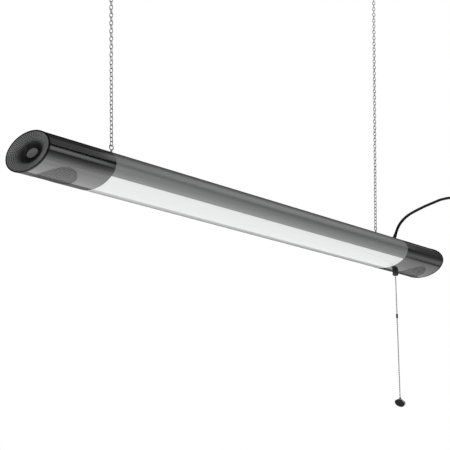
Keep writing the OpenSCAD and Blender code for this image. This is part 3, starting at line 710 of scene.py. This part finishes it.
def walled(bm: Mesh, way: Vector, gauge: float) -> None:
    """Faces a sheet one way and gives it its thickness.

    Args:
        bm: The sheet.
        way: Direction that its faces look to.
        gauge: Thickness, in millimetres.
    """
    bmesh.ops.recalc_face_normals(bm, faces=bm.faces)
    if sum(face.normal.dot(way) for face in bm.faces) < 0:
        bmesh.ops.reverse_faces(bm, faces=bm.faces)
    bmesh.ops.solidify(bm, geom=bm.faces, thickness=gauge * MM)


def merged(parts: Iterable[tuple[Mesh, Matrix]]) -> Mesh:
    """Joins meshes, each put in its place.

    Args:
        parts: Meshes and their matrices. The meshes are freed.

    Returns:
        One mesh.
    """
    whole = bmesh.new()
    for part, place in parts:
        bmesh.ops.transform(part, matrix=place, verts=part.verts)
        held = settled(part, "held")
        whole.from_mesh(held)
        bpy.data.meshes.remove(held)
    return whole


@dataclass
class Studio:
    """Camera, floor, background, lamps and the cards that gloss reflects.

    The eye's place is in millimetres on the lamp, all else in metres, watts and degrees. A
    lamp has its name, place, aim, size and power. A seam is where a card must end and how
    far that moves per metre of reach. A band has its lower and upper angle about the lamp
    and its brightness.
    """

    lens: float = 88.24
    eye: Triple = (-1693.7, -1526.8, -616.4)
    right: Triple = (0.69289, -0.72104, 0.00293)
    down: Triple = (0.18531, 0.17414, -0.96713)
    sensor: float = 36.0
    near: float = 0.01
    far: float = 60.0
    air: float = 0.38
    floor_height: float = -2.45
    floor_half: float = 20.0
    floor_grain: Pair = (3.0, 3.0)
    floor_tint: Pair = (0.86, 0.9)
    floor_dull: float = 0.85
    floor_glow: float = 0.45
    spread: float = math.radians(120)
    soft_lamps: tuple[tuple[str, Triple, Triple, Pair, float], ...] = (
        ("under_lamp", (0.2, 0.0, -2.3), (0.2, 0.0, -0.7), (3.2, 1.6), 4.6),
        ("front_lamp", (-0.4, -2.4, -2.2), (0.0, 0.0, -0.7), (3.0, 1.0), 12.0),
        ("back_lamp", (0.2, 1.4, 1.4), (0.0, 0.0, -0.7), (3.0, 1.0), 7.0),
        ("left_lamp", (-2.6, -0.6, -1.2), (-0.6, 0.0, -0.7), (1.2, 1.2), 8.0),
    )
    seams: tuple[Pair, ...] = ((-0.4575, 0.751), (0.4575, 1.307))
    card_ends: Pair = (-6.0, 8.0)
    card_step: float = 6.0
    low_band: float = 204.0
    reaches: Pair = (1.6, 2.6)
    bands: tuple[tuple[Triple, ...], ...] = (
        (
            (-19, 22, 0.3), (22, 64, 0.02), (64, 70, 0.12), (70, 84, 0.03), (84, 96, 0.12),
            (96, 152, 0.2), (153, 174, 0.0), (176, 182, 0.3), (182, 197, 0.78), (197, 204, 0.4),
            (206, 219, 0.05), (219, 230, 0.14), (230, 242, 0.26), (242, 254, 0.46),
            (254, 268, 0.76), (268, 290, 1.1), (290, 338, 1.25),
        ),
        (
            (-19, 22, 0.05), (22, 66, 0.02), (66, 86, 0.2), (86, 142, 0.75), (144, 180, 0.0),
            (180, 204, 0.2), (204, 222, 0.3), (222, 242, 0.5), (242, 262, 0.85), (262, 338, 1.2),
        ),
        (
            (-19, 22, 0.15), (22, 66, 0.02), (66, 76, 0.4), (76, 176, 0.11), (176, 190, 0.16),
            (190, 205, 0.3), (205, 227, 0.5), (227, 233, 0.3), (235, 247, 0.1), (247, 254, 0.4),
            (254, 270, 0.7), (270, 338, 0.78),
        ),
    )

    def build(self) -> None:
        """Makes the whole studio."""
        self.camera()
        self.world()
        self.floor()
        self.lamps()
        self.cards()

    def camera(self) -> None:
        """Places the camera where the photograph was taken from."""
        right = Vector(self.right).normalized()
        up = -Vector(self.down)
        up = (up - right * up.dot(right)).normalized()
        back = right.cross(up)
        data = bpy.data.cameras.new("camera")
        data.lens = self.lens
        data.sensor_width = self.sensor
        data.clip_start = self.near
        data.clip_end = self.far
        camera = placed("camera", data)
        turn = Matrix((right, up, back)).transposed().to_4x4()
        camera.matrix_world = Matrix.Translation(row(*self.eye)) @ turn
        bpy.context.scene.camera = camera

    def world(self) -> None:
        """Makes the background white for what sees it and softer as light."""
        world = bpy.data.worlds.new("studio_air")
        bpy.context.scene.world = world
        graph = Graph(world)
        seen, gloss, through = (
            graph.node("LightPath", output=f"Is {kind} Ray")
            for kind in ("Camera", "Glossy", "Transmission")
        )
        clamped = {"operation": "ADD", "use_clamp": True}
        shown = graph.node("Math", clamped, {0: seen + gloss, 1: through})
        strength = shown * (1.0 - self.air) + self.air
        back = graph.node("Background", None, {"Color": WHITE_LIGHT, "Strength": strength})
        graph.node("OutputWorld", None, {"Surface": back})

    @staticmethod
    def staged(bm: Mesh, name: str) -> tuple[Piece, Graph]:
        """Turns a mesh into a part of the stage.

        Args:
            bm: The mesh. It is freed.
            name: Its name.

        Returns:
            The stage piece and its material's tree, still empty.
        """
        made = placed(name, settled(bm, name))
        material = bpy.data.materials.new(name)
        made.data.materials.append(material)
        return made, Graph(material)

    def floor(self) -> None:
        """Lays the room's pale floor, which glows a little."""
        bm = bmesh.new()
        bmesh.ops.create_grid(bm, x_segments=1, y_segments=1, size=self.floor_half)
        bmesh.ops.translate(bm, vec=(0, 0, self.floor_height), verts=bm.verts)
        _, graph = self.staged(bm, "floor")
        grain = graph.noise(*self.floor_grain)
        graph.surface(
            Base_Color=graph.blend(grain, *(tint((1, 1, 1), share) for share in self.floor_tint)),
            Roughness=self.floor_dull,
            Emission_Color=WHITE_LIGHT,
            Emission_Strength=self.floor_glow,
        )

    def lamps(self) -> None:
        """Hangs the soft lamps, which neither the camera nor gloss sees."""
        for name, place, aim, size, power in self.soft_lamps:
            data = bpy.data.lights.new(name, "AREA")
            data.shape = "RECTANGLE"
            data.size, data.size_y = size
            data.energy = power
            data.spread = self.spread
            lamp = placed(name, data)
            facing = (Vector(aim) - Vector(place)).to_track_quat("-Z", "Y")
            lamp.matrix_world = Matrix.Translation(place) @ facing.to_matrix().to_4x4()
            lamp.visible_camera = False
            lamp.visible_glossy = False

    def card(self, part: int, band: Triple) -> None:
        """Makes a long strip beside the lamp that only gloss sees.

        Args:
            part: Which of the lamp's parts it serves: left cap, middle or right cap.
            band: The band that it shows as, its angles counted from the lamp's back.
        """
        low, high, level = band
        near, far = self.reaches
        reach = near if low > self.low_band else far
        name = f"gloss_card_{part}_{round(low) % 360}"
        left, right = self.card_ends
        stops = [left, *(seam + slope * reach for seam, slope in self.seams), right]
        start, end = stops[part:part + 2]
        bm = bmesh.new()
        strips = math.ceil((high - low) / self.card_step)
        bmesh.ops.create_grid(bm, x_segments=1, y_segments=strips, size=0.5)
        for vert in bm.verts:
            angle = math.radians(low + (high - low) * (vert.co.y + 0.5))
            along = start + (end - start) * (vert.co.x + 0.5)
            out = Vector((along, reach * math.cos(angle), reach * math.sin(angle)))
            vert.co = row(0, 0, 0) + out
        card, graph = self.staged(bm, name)
        glow = graph.node("Emission", None, {"Color": WHITE_LIGHT, "Strength": level})
        graph.node("OutputMaterial", None, {"Surface": glow})
        card.visible_camera = False
        card.visible_diffuse = False
        card.visible_transmission = False
        card.visible_shadow = False

    def cards(self) -> None:
        """Sets the strips that its gloss shows as bands."""
        for part, bands in enumerate(self.bands):
            for band in bands:
                self.card(part, band)


@dataclass
class CordSet:
    """The power cord from its strain relief to its plug, with its coil and tie.

    Lengths are in millimetres, turns are counted from the coil's outside. A rib is places
    along it, as shares, and how deep the sleeve is cut there. A taper is a sleeve's radius
    at its start and its end, a root its radius and depth in the plug.
    """

    radius: float = 3.5
    round_steps: int = 4
    route: tuple[Pair, ...] = (
        (500, 55), (509, 71), (520, 85), (534, 98), (550, 110), (568, 121), (588, 131.5),
        (609, 142), (632, 153), (656, 164), (681, 175), (706, 186), (731, 195), (756, 202.5),
        (780, 206.5), (803, 206.5), (824, 202.5), (841, 195.5), (853, 186.5), (861, 176), (870, 164),
    )
    lead: float = 8.0
    whole_turns: int = 4
    coil_radius: float = 48.0
    coil_step: float = 7.6
    climb: float = 0.5
    dip: float = 1.4
    tail: float = 12.0
    per_turn: int = 32
    per_place: int = 4
    ribs: int = 6
    relief_taper: Pair = (5.0, 4.0)
    relief_rib: tuple[Pair, ...] = ((0.15, 0.0), (0.62, 0.0), (0.68, 0.7), (0.94, 0.7))
    relief_sunk: float = 0.8
    relief_lip: Pair = (0.2, 0.3)
    collar: tuple[Pair, ...] = (
        (0.0, 33.2), (7.2, 33.2), (7.2, 33.7), (5.8, 33.7), (5.8, 36.6), (7.3, 36.6), (7.5, 36.9),
        (7.3, 38.0), (6.4, 38.6), (0.0, 38.6),
    )
    neck_length: float = 26.0
    neck_mouth: float = 4.1
    neck_taper: Pair = (4.3, 5.5)
    neck_rib: tuple[Pair, ...] = ((0.1, 0.0), (0.6, 0.0), (0.68, 0.6), (0.94, 0.6))
    neck_root: Pair = (5.6, 0.5)
    plug_size: Triple = (21.0, 25.0, 28.0)
    plug_corner: float = 5.0
    plug_round: float = 1.2
    plug_shift: float = 2.0
    blade_round: float = 0.3
    ridge: Triple = (12.0, 1.6, 1.6)
    ridge_round: float = 0.5
    ridge_sunk: float = 0.1
    ridge_top: float = 8.0
    ridge_step: float = 3.6
    ridges: int = 4
    strap: float = 1.2
    strap_corner: float = 3.0
    clasp: Triple = (2.4, 6.0, 9.0)
    clasp_round: float = 0.6
    points: list[Vector] = field(default_factory=list)

    def __post_init__(self) -> None:
        """Works out the coil's centre and its turns."""
        (x0, z0), (x1, z1) = self.route[-2:]
        way = Vector((x1 - x0, z1 - z0)).normalized()
        self.phase = 90.0 + math.degrees(math.atan2(way.y, way.x))
        self.turns = self.whole_turns + self.phase / 360.0
        self.inward = (self.turns - self.climb) / 2.0
        start = Vector((x1, z1)) + way * self.lead
        angle = math.radians(self.phase)
        self.centre = start - Vector((math.cos(angle), math.sin(angle))) * self.coil_radius
        side = self.centre.x + self.coil_radius
        self.plug = Vector((side, self.coil_step, self.centre.y - self.tail))

    def loop(self, turn: float) -> Vector:
        """Follows the coil inwards, over to its other layer and out again.

        Args:
            turn: Turns made so far.

        Returns:
            The place there, on the lamp.
        """
        climb = min(1.0, max(0.0, (turn - self.inward) / self.climb))
        out = max(0.0, turn - self.inward - self.climb)
        radius = (
            self.coil_radius - self.coil_step * min(turn, self.inward) + self.coil_step * out
            - self.dip * math.sin(math.pi * climb)
        )
        angle = math.radians(self.phase - 360.0 * turn)
        side = self.coil_step * (1.0 - math.cos(math.pi * climb)) / 2.0
        x = self.centre.x + radius * math.cos(angle)
        return Vector((x, side, self.centre.y + radius * math.sin(angle)))

    def free_run(self) -> list[Vector]:
        """Draws a smooth line through the route's points.

        Returns:
            Its places, on the lamp.
        """
        nodes = [Vector((x, 0.0, z)) for x, z in self.route]
        ends = [nodes[0] * 2 - nodes[1], *nodes, nodes[-1] * 2 - nodes[-2]]
        line = []
        for a, b, c, d in zip(ends, ends[1:], ends[2:], ends[3:]):
            for step in range(self.per_place):
                t = step / self.per_place
                line.append(
                    0.5 * (2 * b + (c - a) * t + (2 * a - 5 * b + 4 * c - d) * t**2
                           + (3 * b - a - 3 * c + d) * t**3)
                )
        return [*line, nodes[-1]]

    def cord(self) -> Piece:
        """Makes the cord as one curve.

        Returns:
            The cord.
        """
        count = int(self.turns * self.per_turn)
        line = self.free_run()
        line += [self.loop(i / self.per_turn) for i in range(count + 1)]
        line += [self.loop(self.turns), self.plug]
        self.points = [row(*point) for point in line]
        curve = bpy.data.curves.new("mains_cord", "CURVE")
        curve.dimensions = "3D"
        curve.bevel_depth = self.radius * MM
        curve.bevel_resolution = self.round_steps
        curve.use_fill_caps = True
        spline = curve.splines.new("POLY")
        spline.points.add(len(self.points) - 1)
        for knot, point in zip(spline.points, self.points):
            knot.co = (*point, 1.0)
        spline.use_smooth = True
        curve.materials.append(CORD_SKIN.material())
        cord = placed("mains_cord", curve)
        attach(cord, Body.LAMP.value)
        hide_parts("power_cord", "cord_coil")
        return cord

    def ribbed(self, taper: Pair, length: float, rib: Sequence[Pair]) -> list[Pair]:
        """Outlines the ribs of a tapering sleeve.

        Args:
            taper: Its radius at its start and its end.
            length: Its length, below zero where it runs down.
            rib: Places along a rib and how deep each is cut.

        Returns:
            Radius and height of the outline's points.
        """
        start, end = taper
        shares = [((i + place) / self.ribs, cut) for i in range(self.ribs) for place, cut in rib]
        return [(start + (end - start) * share - cut, length * share) for share, cut in shares]

    def relief(self) -> Piece:
        """Makes the ribbed strain relief that grips the cord.

        Returns:
            The relief.
        """
        (x0, z0), (x1, z1) = self.route[:2]
        root_z = self.collar[-1][1]
        root_x = x0 - (z0 - root_z) * (x1 - x0) / (z1 - z0)
        length = math.hypot(x0 - root_x, z0 - root_z)
        foot, mouth = self.relief_taper
        drawn_in, over = self.relief_lip
        cone = [
            (0.0, -self.relief_sunk), (foot, -self.relief_sunk),
            *self.ribbed(self.relief_taper, length, self.relief_rib),
            (mouth, length - over), (mouth - drawn_in, length), (0.0, length),
        ]
        lean = math.atan2(x1 - x0, z1 - z0)
        at_root = Matrix.Translation(row(root_x, 0, root_z)) @ Matrix.Rotation(lean, 4, "Y")
        bm = merged([
            (turned(self.collar), Matrix.Translation(row(root_x, 0, 0))),
            (turned(cone), at_root),
        ])
        return finished(bm, "ribbed_relief", RELIEF_SKIN, "cord_strain_relief")

    def tie(self) -> Piece:
        """Makes the strap that holds the coil together.

        Returns:
            The tie.
        """
        low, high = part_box("cord_tie")
        bm = block((high - low) / MM, self.strap_corner)
        ends = [f for f in bm.faces if abs(f.normal.z) > ALIKE]
        bmesh.ops.delete(bm, geom=ends, context="FACES_ONLY")
        bmesh.ops.recalc_face_normals(bm, faces=bm.faces)
        bmesh.ops.solidify(bm, geom=bm.faces, thickness=self.strap * MM)
        clasp = block(self.clasp)
        bevelled(clasp, list(clasp.edges), self.clasp_round, segments=2)
        middle = (low + high) / 2
        at_clasp = Vector((low.x + self.strap * MM / 2, middle.y, middle.z))
        bm = merged([(bm, Matrix.Translation(middle)), (clasp, Matrix.Translation(at_clasp))])
        return finished(bm, "coil_strap", TIE_SKIN, "cord_tie")

    def plug_shell(self) -> Piece:
        """Makes the plug's moulded body with its neck and ridges.

        Returns:
            The plug.
        """
        root, sunk = self.neck_root
        neck = [
            (0.0, 0.0), (self.neck_mouth, 0.0),
            *self.ribbed(self.neck_taper, -self.neck_length, self.neck_rib),
            (root, -self.neck_length - sunk), (0.0, -self.neck_length - sunk),
        ]
        shell = block(self.plug_size, self.plug_corner)
        rims = [e for e in shell.edges if e.calc_face_angle(0.0) > BROKEN]
        bevelled(shell, rims, self.plug_round, segments=3)
        _, wide, tall = self.plug_size
        down = self.neck_length + tall / 2
        at_shell = row(self.plug.x + self.plug_shift, self.plug.y, self.plug.z - down)
        parts = [
            (turned(neck), Matrix.Translation(row(*self.plug))),
            (shell, Matrix.Translation(at_shell)),
        ]
        for side in (-1, 1):
            for level in range(self.ridges):
                ridge = block(self.ridge)
                bevelled(ridge, list(ridge.edges), self.ridge_round, segments=2)
                out = side * (wide / 2 - self.ridge_sunk)
                place = Vector((0.0, out, self.ridge_top - self.ridge_step * level)) * MM
                parts.append((ridge, Matrix.Translation(at_shell + place)))
        return finished(merged(parts), "moulded_plug", PLUG_SKIN, "plug_body")

    def build(self) -> None:
        """Makes the cord and what is on it."""
        cord = self.cord()
        relief = self.relief()
        strap = self.tie()
        plug = self.plug_shell()
        blades = polished("plug_blades", BLADE, self.blade_round)


@dataclass
class SpeakerEnd:
    """One end of the lamp: its grilles, cap, ring, disc and what lies behind them.

    Lengths are in millimetres. A web is the share of a cell left beside its hole, and bend
    gives the dish's depth at shares of the way out.
    """

    end: End
    rim: Pair = (60.9, 33.9)
    eye: Pair = (16.5, 8.5)
    front: float = 608.8
    depth: float = 12.0
    around: int = 64
    rings: int = 11
    flange: float = 0.985
    web: Pair = (0.05, 0.19)
    gauge: float = 0.7
    ring_x: float = 610.4
    ring_growth: Triple = (1.25, 1.008, 1.012)
    ring_round: float = 0.5
    port_x: float = 547.75
    port: Pair = (39.25, 47.0)
    port_cells: tuple[int, int] = (21, 25)
    port_web: float = 0.22
    port_gauge: float = 0.5
    port_inset: float = 0.05
    mesh_inset: float = 0.35
    border: float = 0.9
    border_steps: int = 96
    overlap: float = 1.0
    dish_crease: float = 50.0
    port_crease: float = 40.0
    disc_round: float = 0.25
    bend: tuple[Pair, ...] = (
        (0.0, 1.0), (0.2, 0.8), (0.45, 0.52), (0.72, 0.25), (0.9, 0.08), (1.0, 0.0),
    )

    def sink(self, share: float) -> float:
        """Reads the dish's curve.

        Args:
            share: How far out, from 0 at the disc to 1 at the rim.

        Returns:
            How deep it lies there, from 0 to 1.
        """
        for (s0, d0), (s1, d1) in zip(self.bend, self.bend[1:]):
            if share <= s1:
                return d0 + (d1 - d0) * (share - s0) / (s1 - s0)
        return 0.0

    @staticmethod
    def pierced(bm: Mesh, rows: Iterable[tuple[float, list[Any]]]) -> None:
        """Cuts an eight-sided hole in each face.

        Args:
            bm: The sheet.
            rows: Groups of faces, each with the share of a face's shorter side that stays
                on each side of its hole.
        """
        holes: dict[tuple[float, float], list[Any]] = {}
        for web, faces in rows:
            for face in faces:
                short = min(edge.calc_length() for edge in face.edges) / MM
                holes.setdefault((web, round(short, 1)), []).append(face)
        for (web, short), faces in holes.items():
            bmesh.ops.inset_individual(bm, faces=faces, thickness=web * short * MM)
        corners = {
            key: {vert for face in faces for vert in face.verts} for key, faces in holes.items()
        }
        bmesh.ops.delete(bm, geom=[f for faces in holes.values() for f in faces], context="FACES")
        for (web, short), verts in corners.items():
            bevelled(bm, list(verts), (0.5 - web) * 0.5 * short, 1, "VERTICES")

    def grille(self) -> None:
        """Makes the dished grille with its rings of holes."""
        bm = bmesh.new()
        bmesh.ops.create_circle(bm, segments=self.around, radius=1.0)
        quarter = Matrix.Rotation(math.radians(90), 4, "Y")
        bmesh.ops.transform(bm, matrix=quarter, verts=bm.verts)
        bmesh.ops.scale(bm, vec=(1.0, self.rim[0] * MM, self.rim[1] * MM), verts=bm.verts)
        bmesh.ops.translate(bm, vec=row(self.front, 0, 0), verts=bm.verts)
        loop = list(bm.edges)
        old = (self.rim[0], self.rim[1], self.front)
        cells: list[tuple[float, list[Any]]] = []
        steps = [1.0, *(self.flange * (1.0 - i / self.rings) for i in range(self.rings + 1))]
        for index, share in enumerate(steps[1:]):
            wide = self.eye[0] + share * (self.rim[0] - self.eye[0])
            high = self.eye[1] + share * (self.rim[1] - self.eye[1])
            deep = self.front - self.depth * self.sink(share)
            grown = bmesh.ops.extrude_edge_only(bm, edges=loop)["geom"]
            verts = [g for g in grown if isinstance(g, bmesh.types.BMVert)]
            bmesh.ops.translate(bm, vec=(0, 0, DROP * MM), verts=verts)
            bmesh.ops.scale(bm, vec=(deep / old[2], wide / old[0], high / old[1]), verts=verts)
            bmesh.ops.translate(bm, vec=(0, 0, -DROP * MM), verts=verts)
            loop = [
                g for g in grown
                if isinstance(g, bmesh.types.BMEdge) and all(v in verts for v in g.verts)
            ]
            if index > 0:
                web = self.web[0] + share * (self.web[1] - self.web[0])
                cells.append((web, [g for g in grown if isinstance(g, bmesh.types.BMFace)]))
            old = (wide, high, deep)
        bmesh.ops.edgeloop_fill(bm, edges=loop)
        self.pierced(bm, cells)
        walled(bm, Vector((1.0, 0.0, 0.0)), self.gauge)
        self.to_side(bm)
        word = self.end.word
        finished(bm, word + "_dish", GRILLE, word + "_end_grille", angle=self.dish_crease)

    def trim_ring(self) -> None:
        """Makes the black ring, which stands a little proud of the cap."""
        node = self.end.word + "_trim_ring"
        bm = solid_copy(node)
        centre = row(self.end.value * self.ring_x, 0, 0)
        about = Matrix.Translation(-centre)
        bmesh.ops.scale(bm, vec=self.ring_growth, verts=bm.verts, space=about)
        break_edges(bm, self.ring_round, segments=3)
        finished(bm, node + "_dressed", BLACK_GLOSS, node)

    def to_side(self, bm: Mesh) -> None:
        """Turns a mesh made for the right end to this end.

        Args:
            bm: The mesh.
        """
        if self.end is End.LEFT:
            bmesh.ops.scale(bm, vec=(-1.0, 1.0, 1.0), verts=bm.verts)
            bmesh.ops.reverse_faces(bm, faces=bm.faces)

    def port_grille(self) -> None:
        """Makes the pierced patch under the cap with its plain border."""
        half_x, half_y = self.port
        mesh_x, mesh_y = half_x - self.border, half_y - self.border
        cells_x, cells_y = self.port_cells
        sheet = bmesh.new()
        bmesh.ops.create_grid(sheet, x_segments=cells_x, y_segments=cells_y, size=1.0)
        bmesh.ops.scale(sheet, vec=(mesh_x * MM, mesh_y * MM, 1.0), verts=sheet.verts)
        middles = [(face, face.calc_center_median() / MM) for face in sheet.faces]
        outside = [f for f, at in middles if (at.x / mesh_x) ** 2 + (at.y / mesh_y) ** 2 > 1.0]
        bmesh.ops.delete(sheet, geom=outside, context="FACES")
        self.pierced(sheet, [(self.port_web, list(sheet.faces))])
        border = bmesh.new()
        bmesh.ops.create_circle(border, segments=self.border_steps, radius=1.0)
        bmesh.ops.scale(border, vec=(half_x * MM, half_y * MM, 1.0), verts=border.verts)
        inner = bmesh.ops.extrude_edge_only(border, edges=border.edges)["geom"]
        drawn = [g for g in inner if isinstance(g, bmesh.types.BMVert)]
        bmesh.ops.scale(
            border, verts=drawn,
            vec=((mesh_x - self.overlap) / half_x, (mesh_y - self.overlap) / half_y, 1.0),
        )
        parts = []
        for part, inset in (sheet, self.mesh_inset), (border, self.port_inset):
            oval = SKIN.shrunk(inset)
            for vert in part.verts:
                vert.co.z = oval.floor(vert.co.y / MM) * MM
            walled(part, Vector((0.0, 0.0, -1.0)), self.port_gauge)
            parts.append((part, Matrix.Translation(row(self.port_x, 0, 0))))
        bm = merged(parts)
        self.to_side(bm)
        word = self.end.word
        finished(
            bm, word + "_port_mesh", PORT, word + "_port_grille",
            angle=self.port_crease, oval=SKIN.shrunk(self.port_inset),
        )

    def build(self) -> None:
        """Makes and dresses the end."""
        word = self.end.word
        self.grille()
        self.port_grille()
        polished(word + "_end_cap", CHARCOAL, oval=SKIN)
        self.trim_ring()
        polished(word + "_centre_disc", DISC, self.disc_round)
        for node, finish in (
            ("baffle", BAFFLE), ("speaker_basket", SPEAKER_FRAME), ("speaker_magnet", MAGNET),
            ("speaker_cone", CONE), ("bulkhead", INNER_BLACK), ("speaker_lead", WIRE_SKIN),
        ):
            coated(f"{word}_{node}", finish)


@dataclass
class LampBody:
    """The housing, diffuser and what they hold, its sizes in millimetres."""

    lens_inset: float = 0.4
    screw_round: float = 0.2

    def build(self) -> None:
        """Dresses the body."""
        polished("housing_shell", HOUSING, oval=SKIN)
        polished("diffuser_lens", LENS, oval=SKIN.shrunk(self.lens_inset))
        for node, finish in (("cap_screws", BLACK_SCREW), ("tray_screws", STEEL), ("eye_nuts", STEEL)):
            polished(node, finish, self.screw_round)
        for node, finish in (
            ("led_tray", WHITE), ("front_led_board", BOARD), ("rear_led_board", BOARD),
            ("led_chips", LIGHT_SOURCE), ("tray_brackets", STEEL), ("led_driver", DRIVER),
            ("amplifier_board", CIRCUIT), ("board_standoffs", BRASS), ("speaker_screws", BLACK_SCREW),
            ("mains_lead", CORD_SKIN), ("switch_body", INNER_BLACK), ("switch_nut", STEEL),
            ("pull_plunger", BRASS),
        ):
            coated(node, finish)


@dataclass
class Hanging:
    """Hooks, chains and eyes."""

    link_crease: float = 60.0

    def build(self) -> None:
        """Dresses what the lamp hangs by."""
        for end in End:
            polished(end.word + "_ceiling_hook", HOOK, body=Body.HOOKS)
            polished(end.word + "_chain", CHAIN, body=Body.CHAINS, angle=self.link_crease)
            polished(end.word + "_hanger_eye", EYE)


@dataclass
class PullSwitch:
    """The switch's bushing and its pull chain, its sizes in millimetres."""

    moulded_round: float = 0.3
    knob_round: float = 0.2
    ball_crease: float = 50.0

    def build(self) -> None:
        """Dresses the switch from its bushing to its knob."""
        polished("switch_bushing", BUSHING, self.moulded_round)
        polished("pull_chain_upper", BALLS, body=Body.UPPER_PULL, angle=self.ball_crease)
        polished("chain_connector", BLACK_GLOSS, self.moulded_round, Body.UPPER_PULL)
        polished("pull_chain_lower", BALLS, body=Body.LOWER_PULL, angle=self.ball_crease)
        polished("knob_barrel", KNOB_METAL, self.knob_round, Body.KNOB)
        polished("knob_face", BLACK_GLOSS, self.knob_round, Body.KNOB)


def main() -> None:
    """Builds the studio and the light."""
    logging.basicConfig(level=logging.INFO, format="%(name)s %(message)s")
    bpy.context.scene.view_settings.view_transform = "Standard"
    Studio().build()
    CordSet().build()
    LampBody().build()
    for end in End:
        SpeakerEnd(end).build()
    Hanging().build()
    PullSwitch().build()


if __name__ == "__main__":
    main()
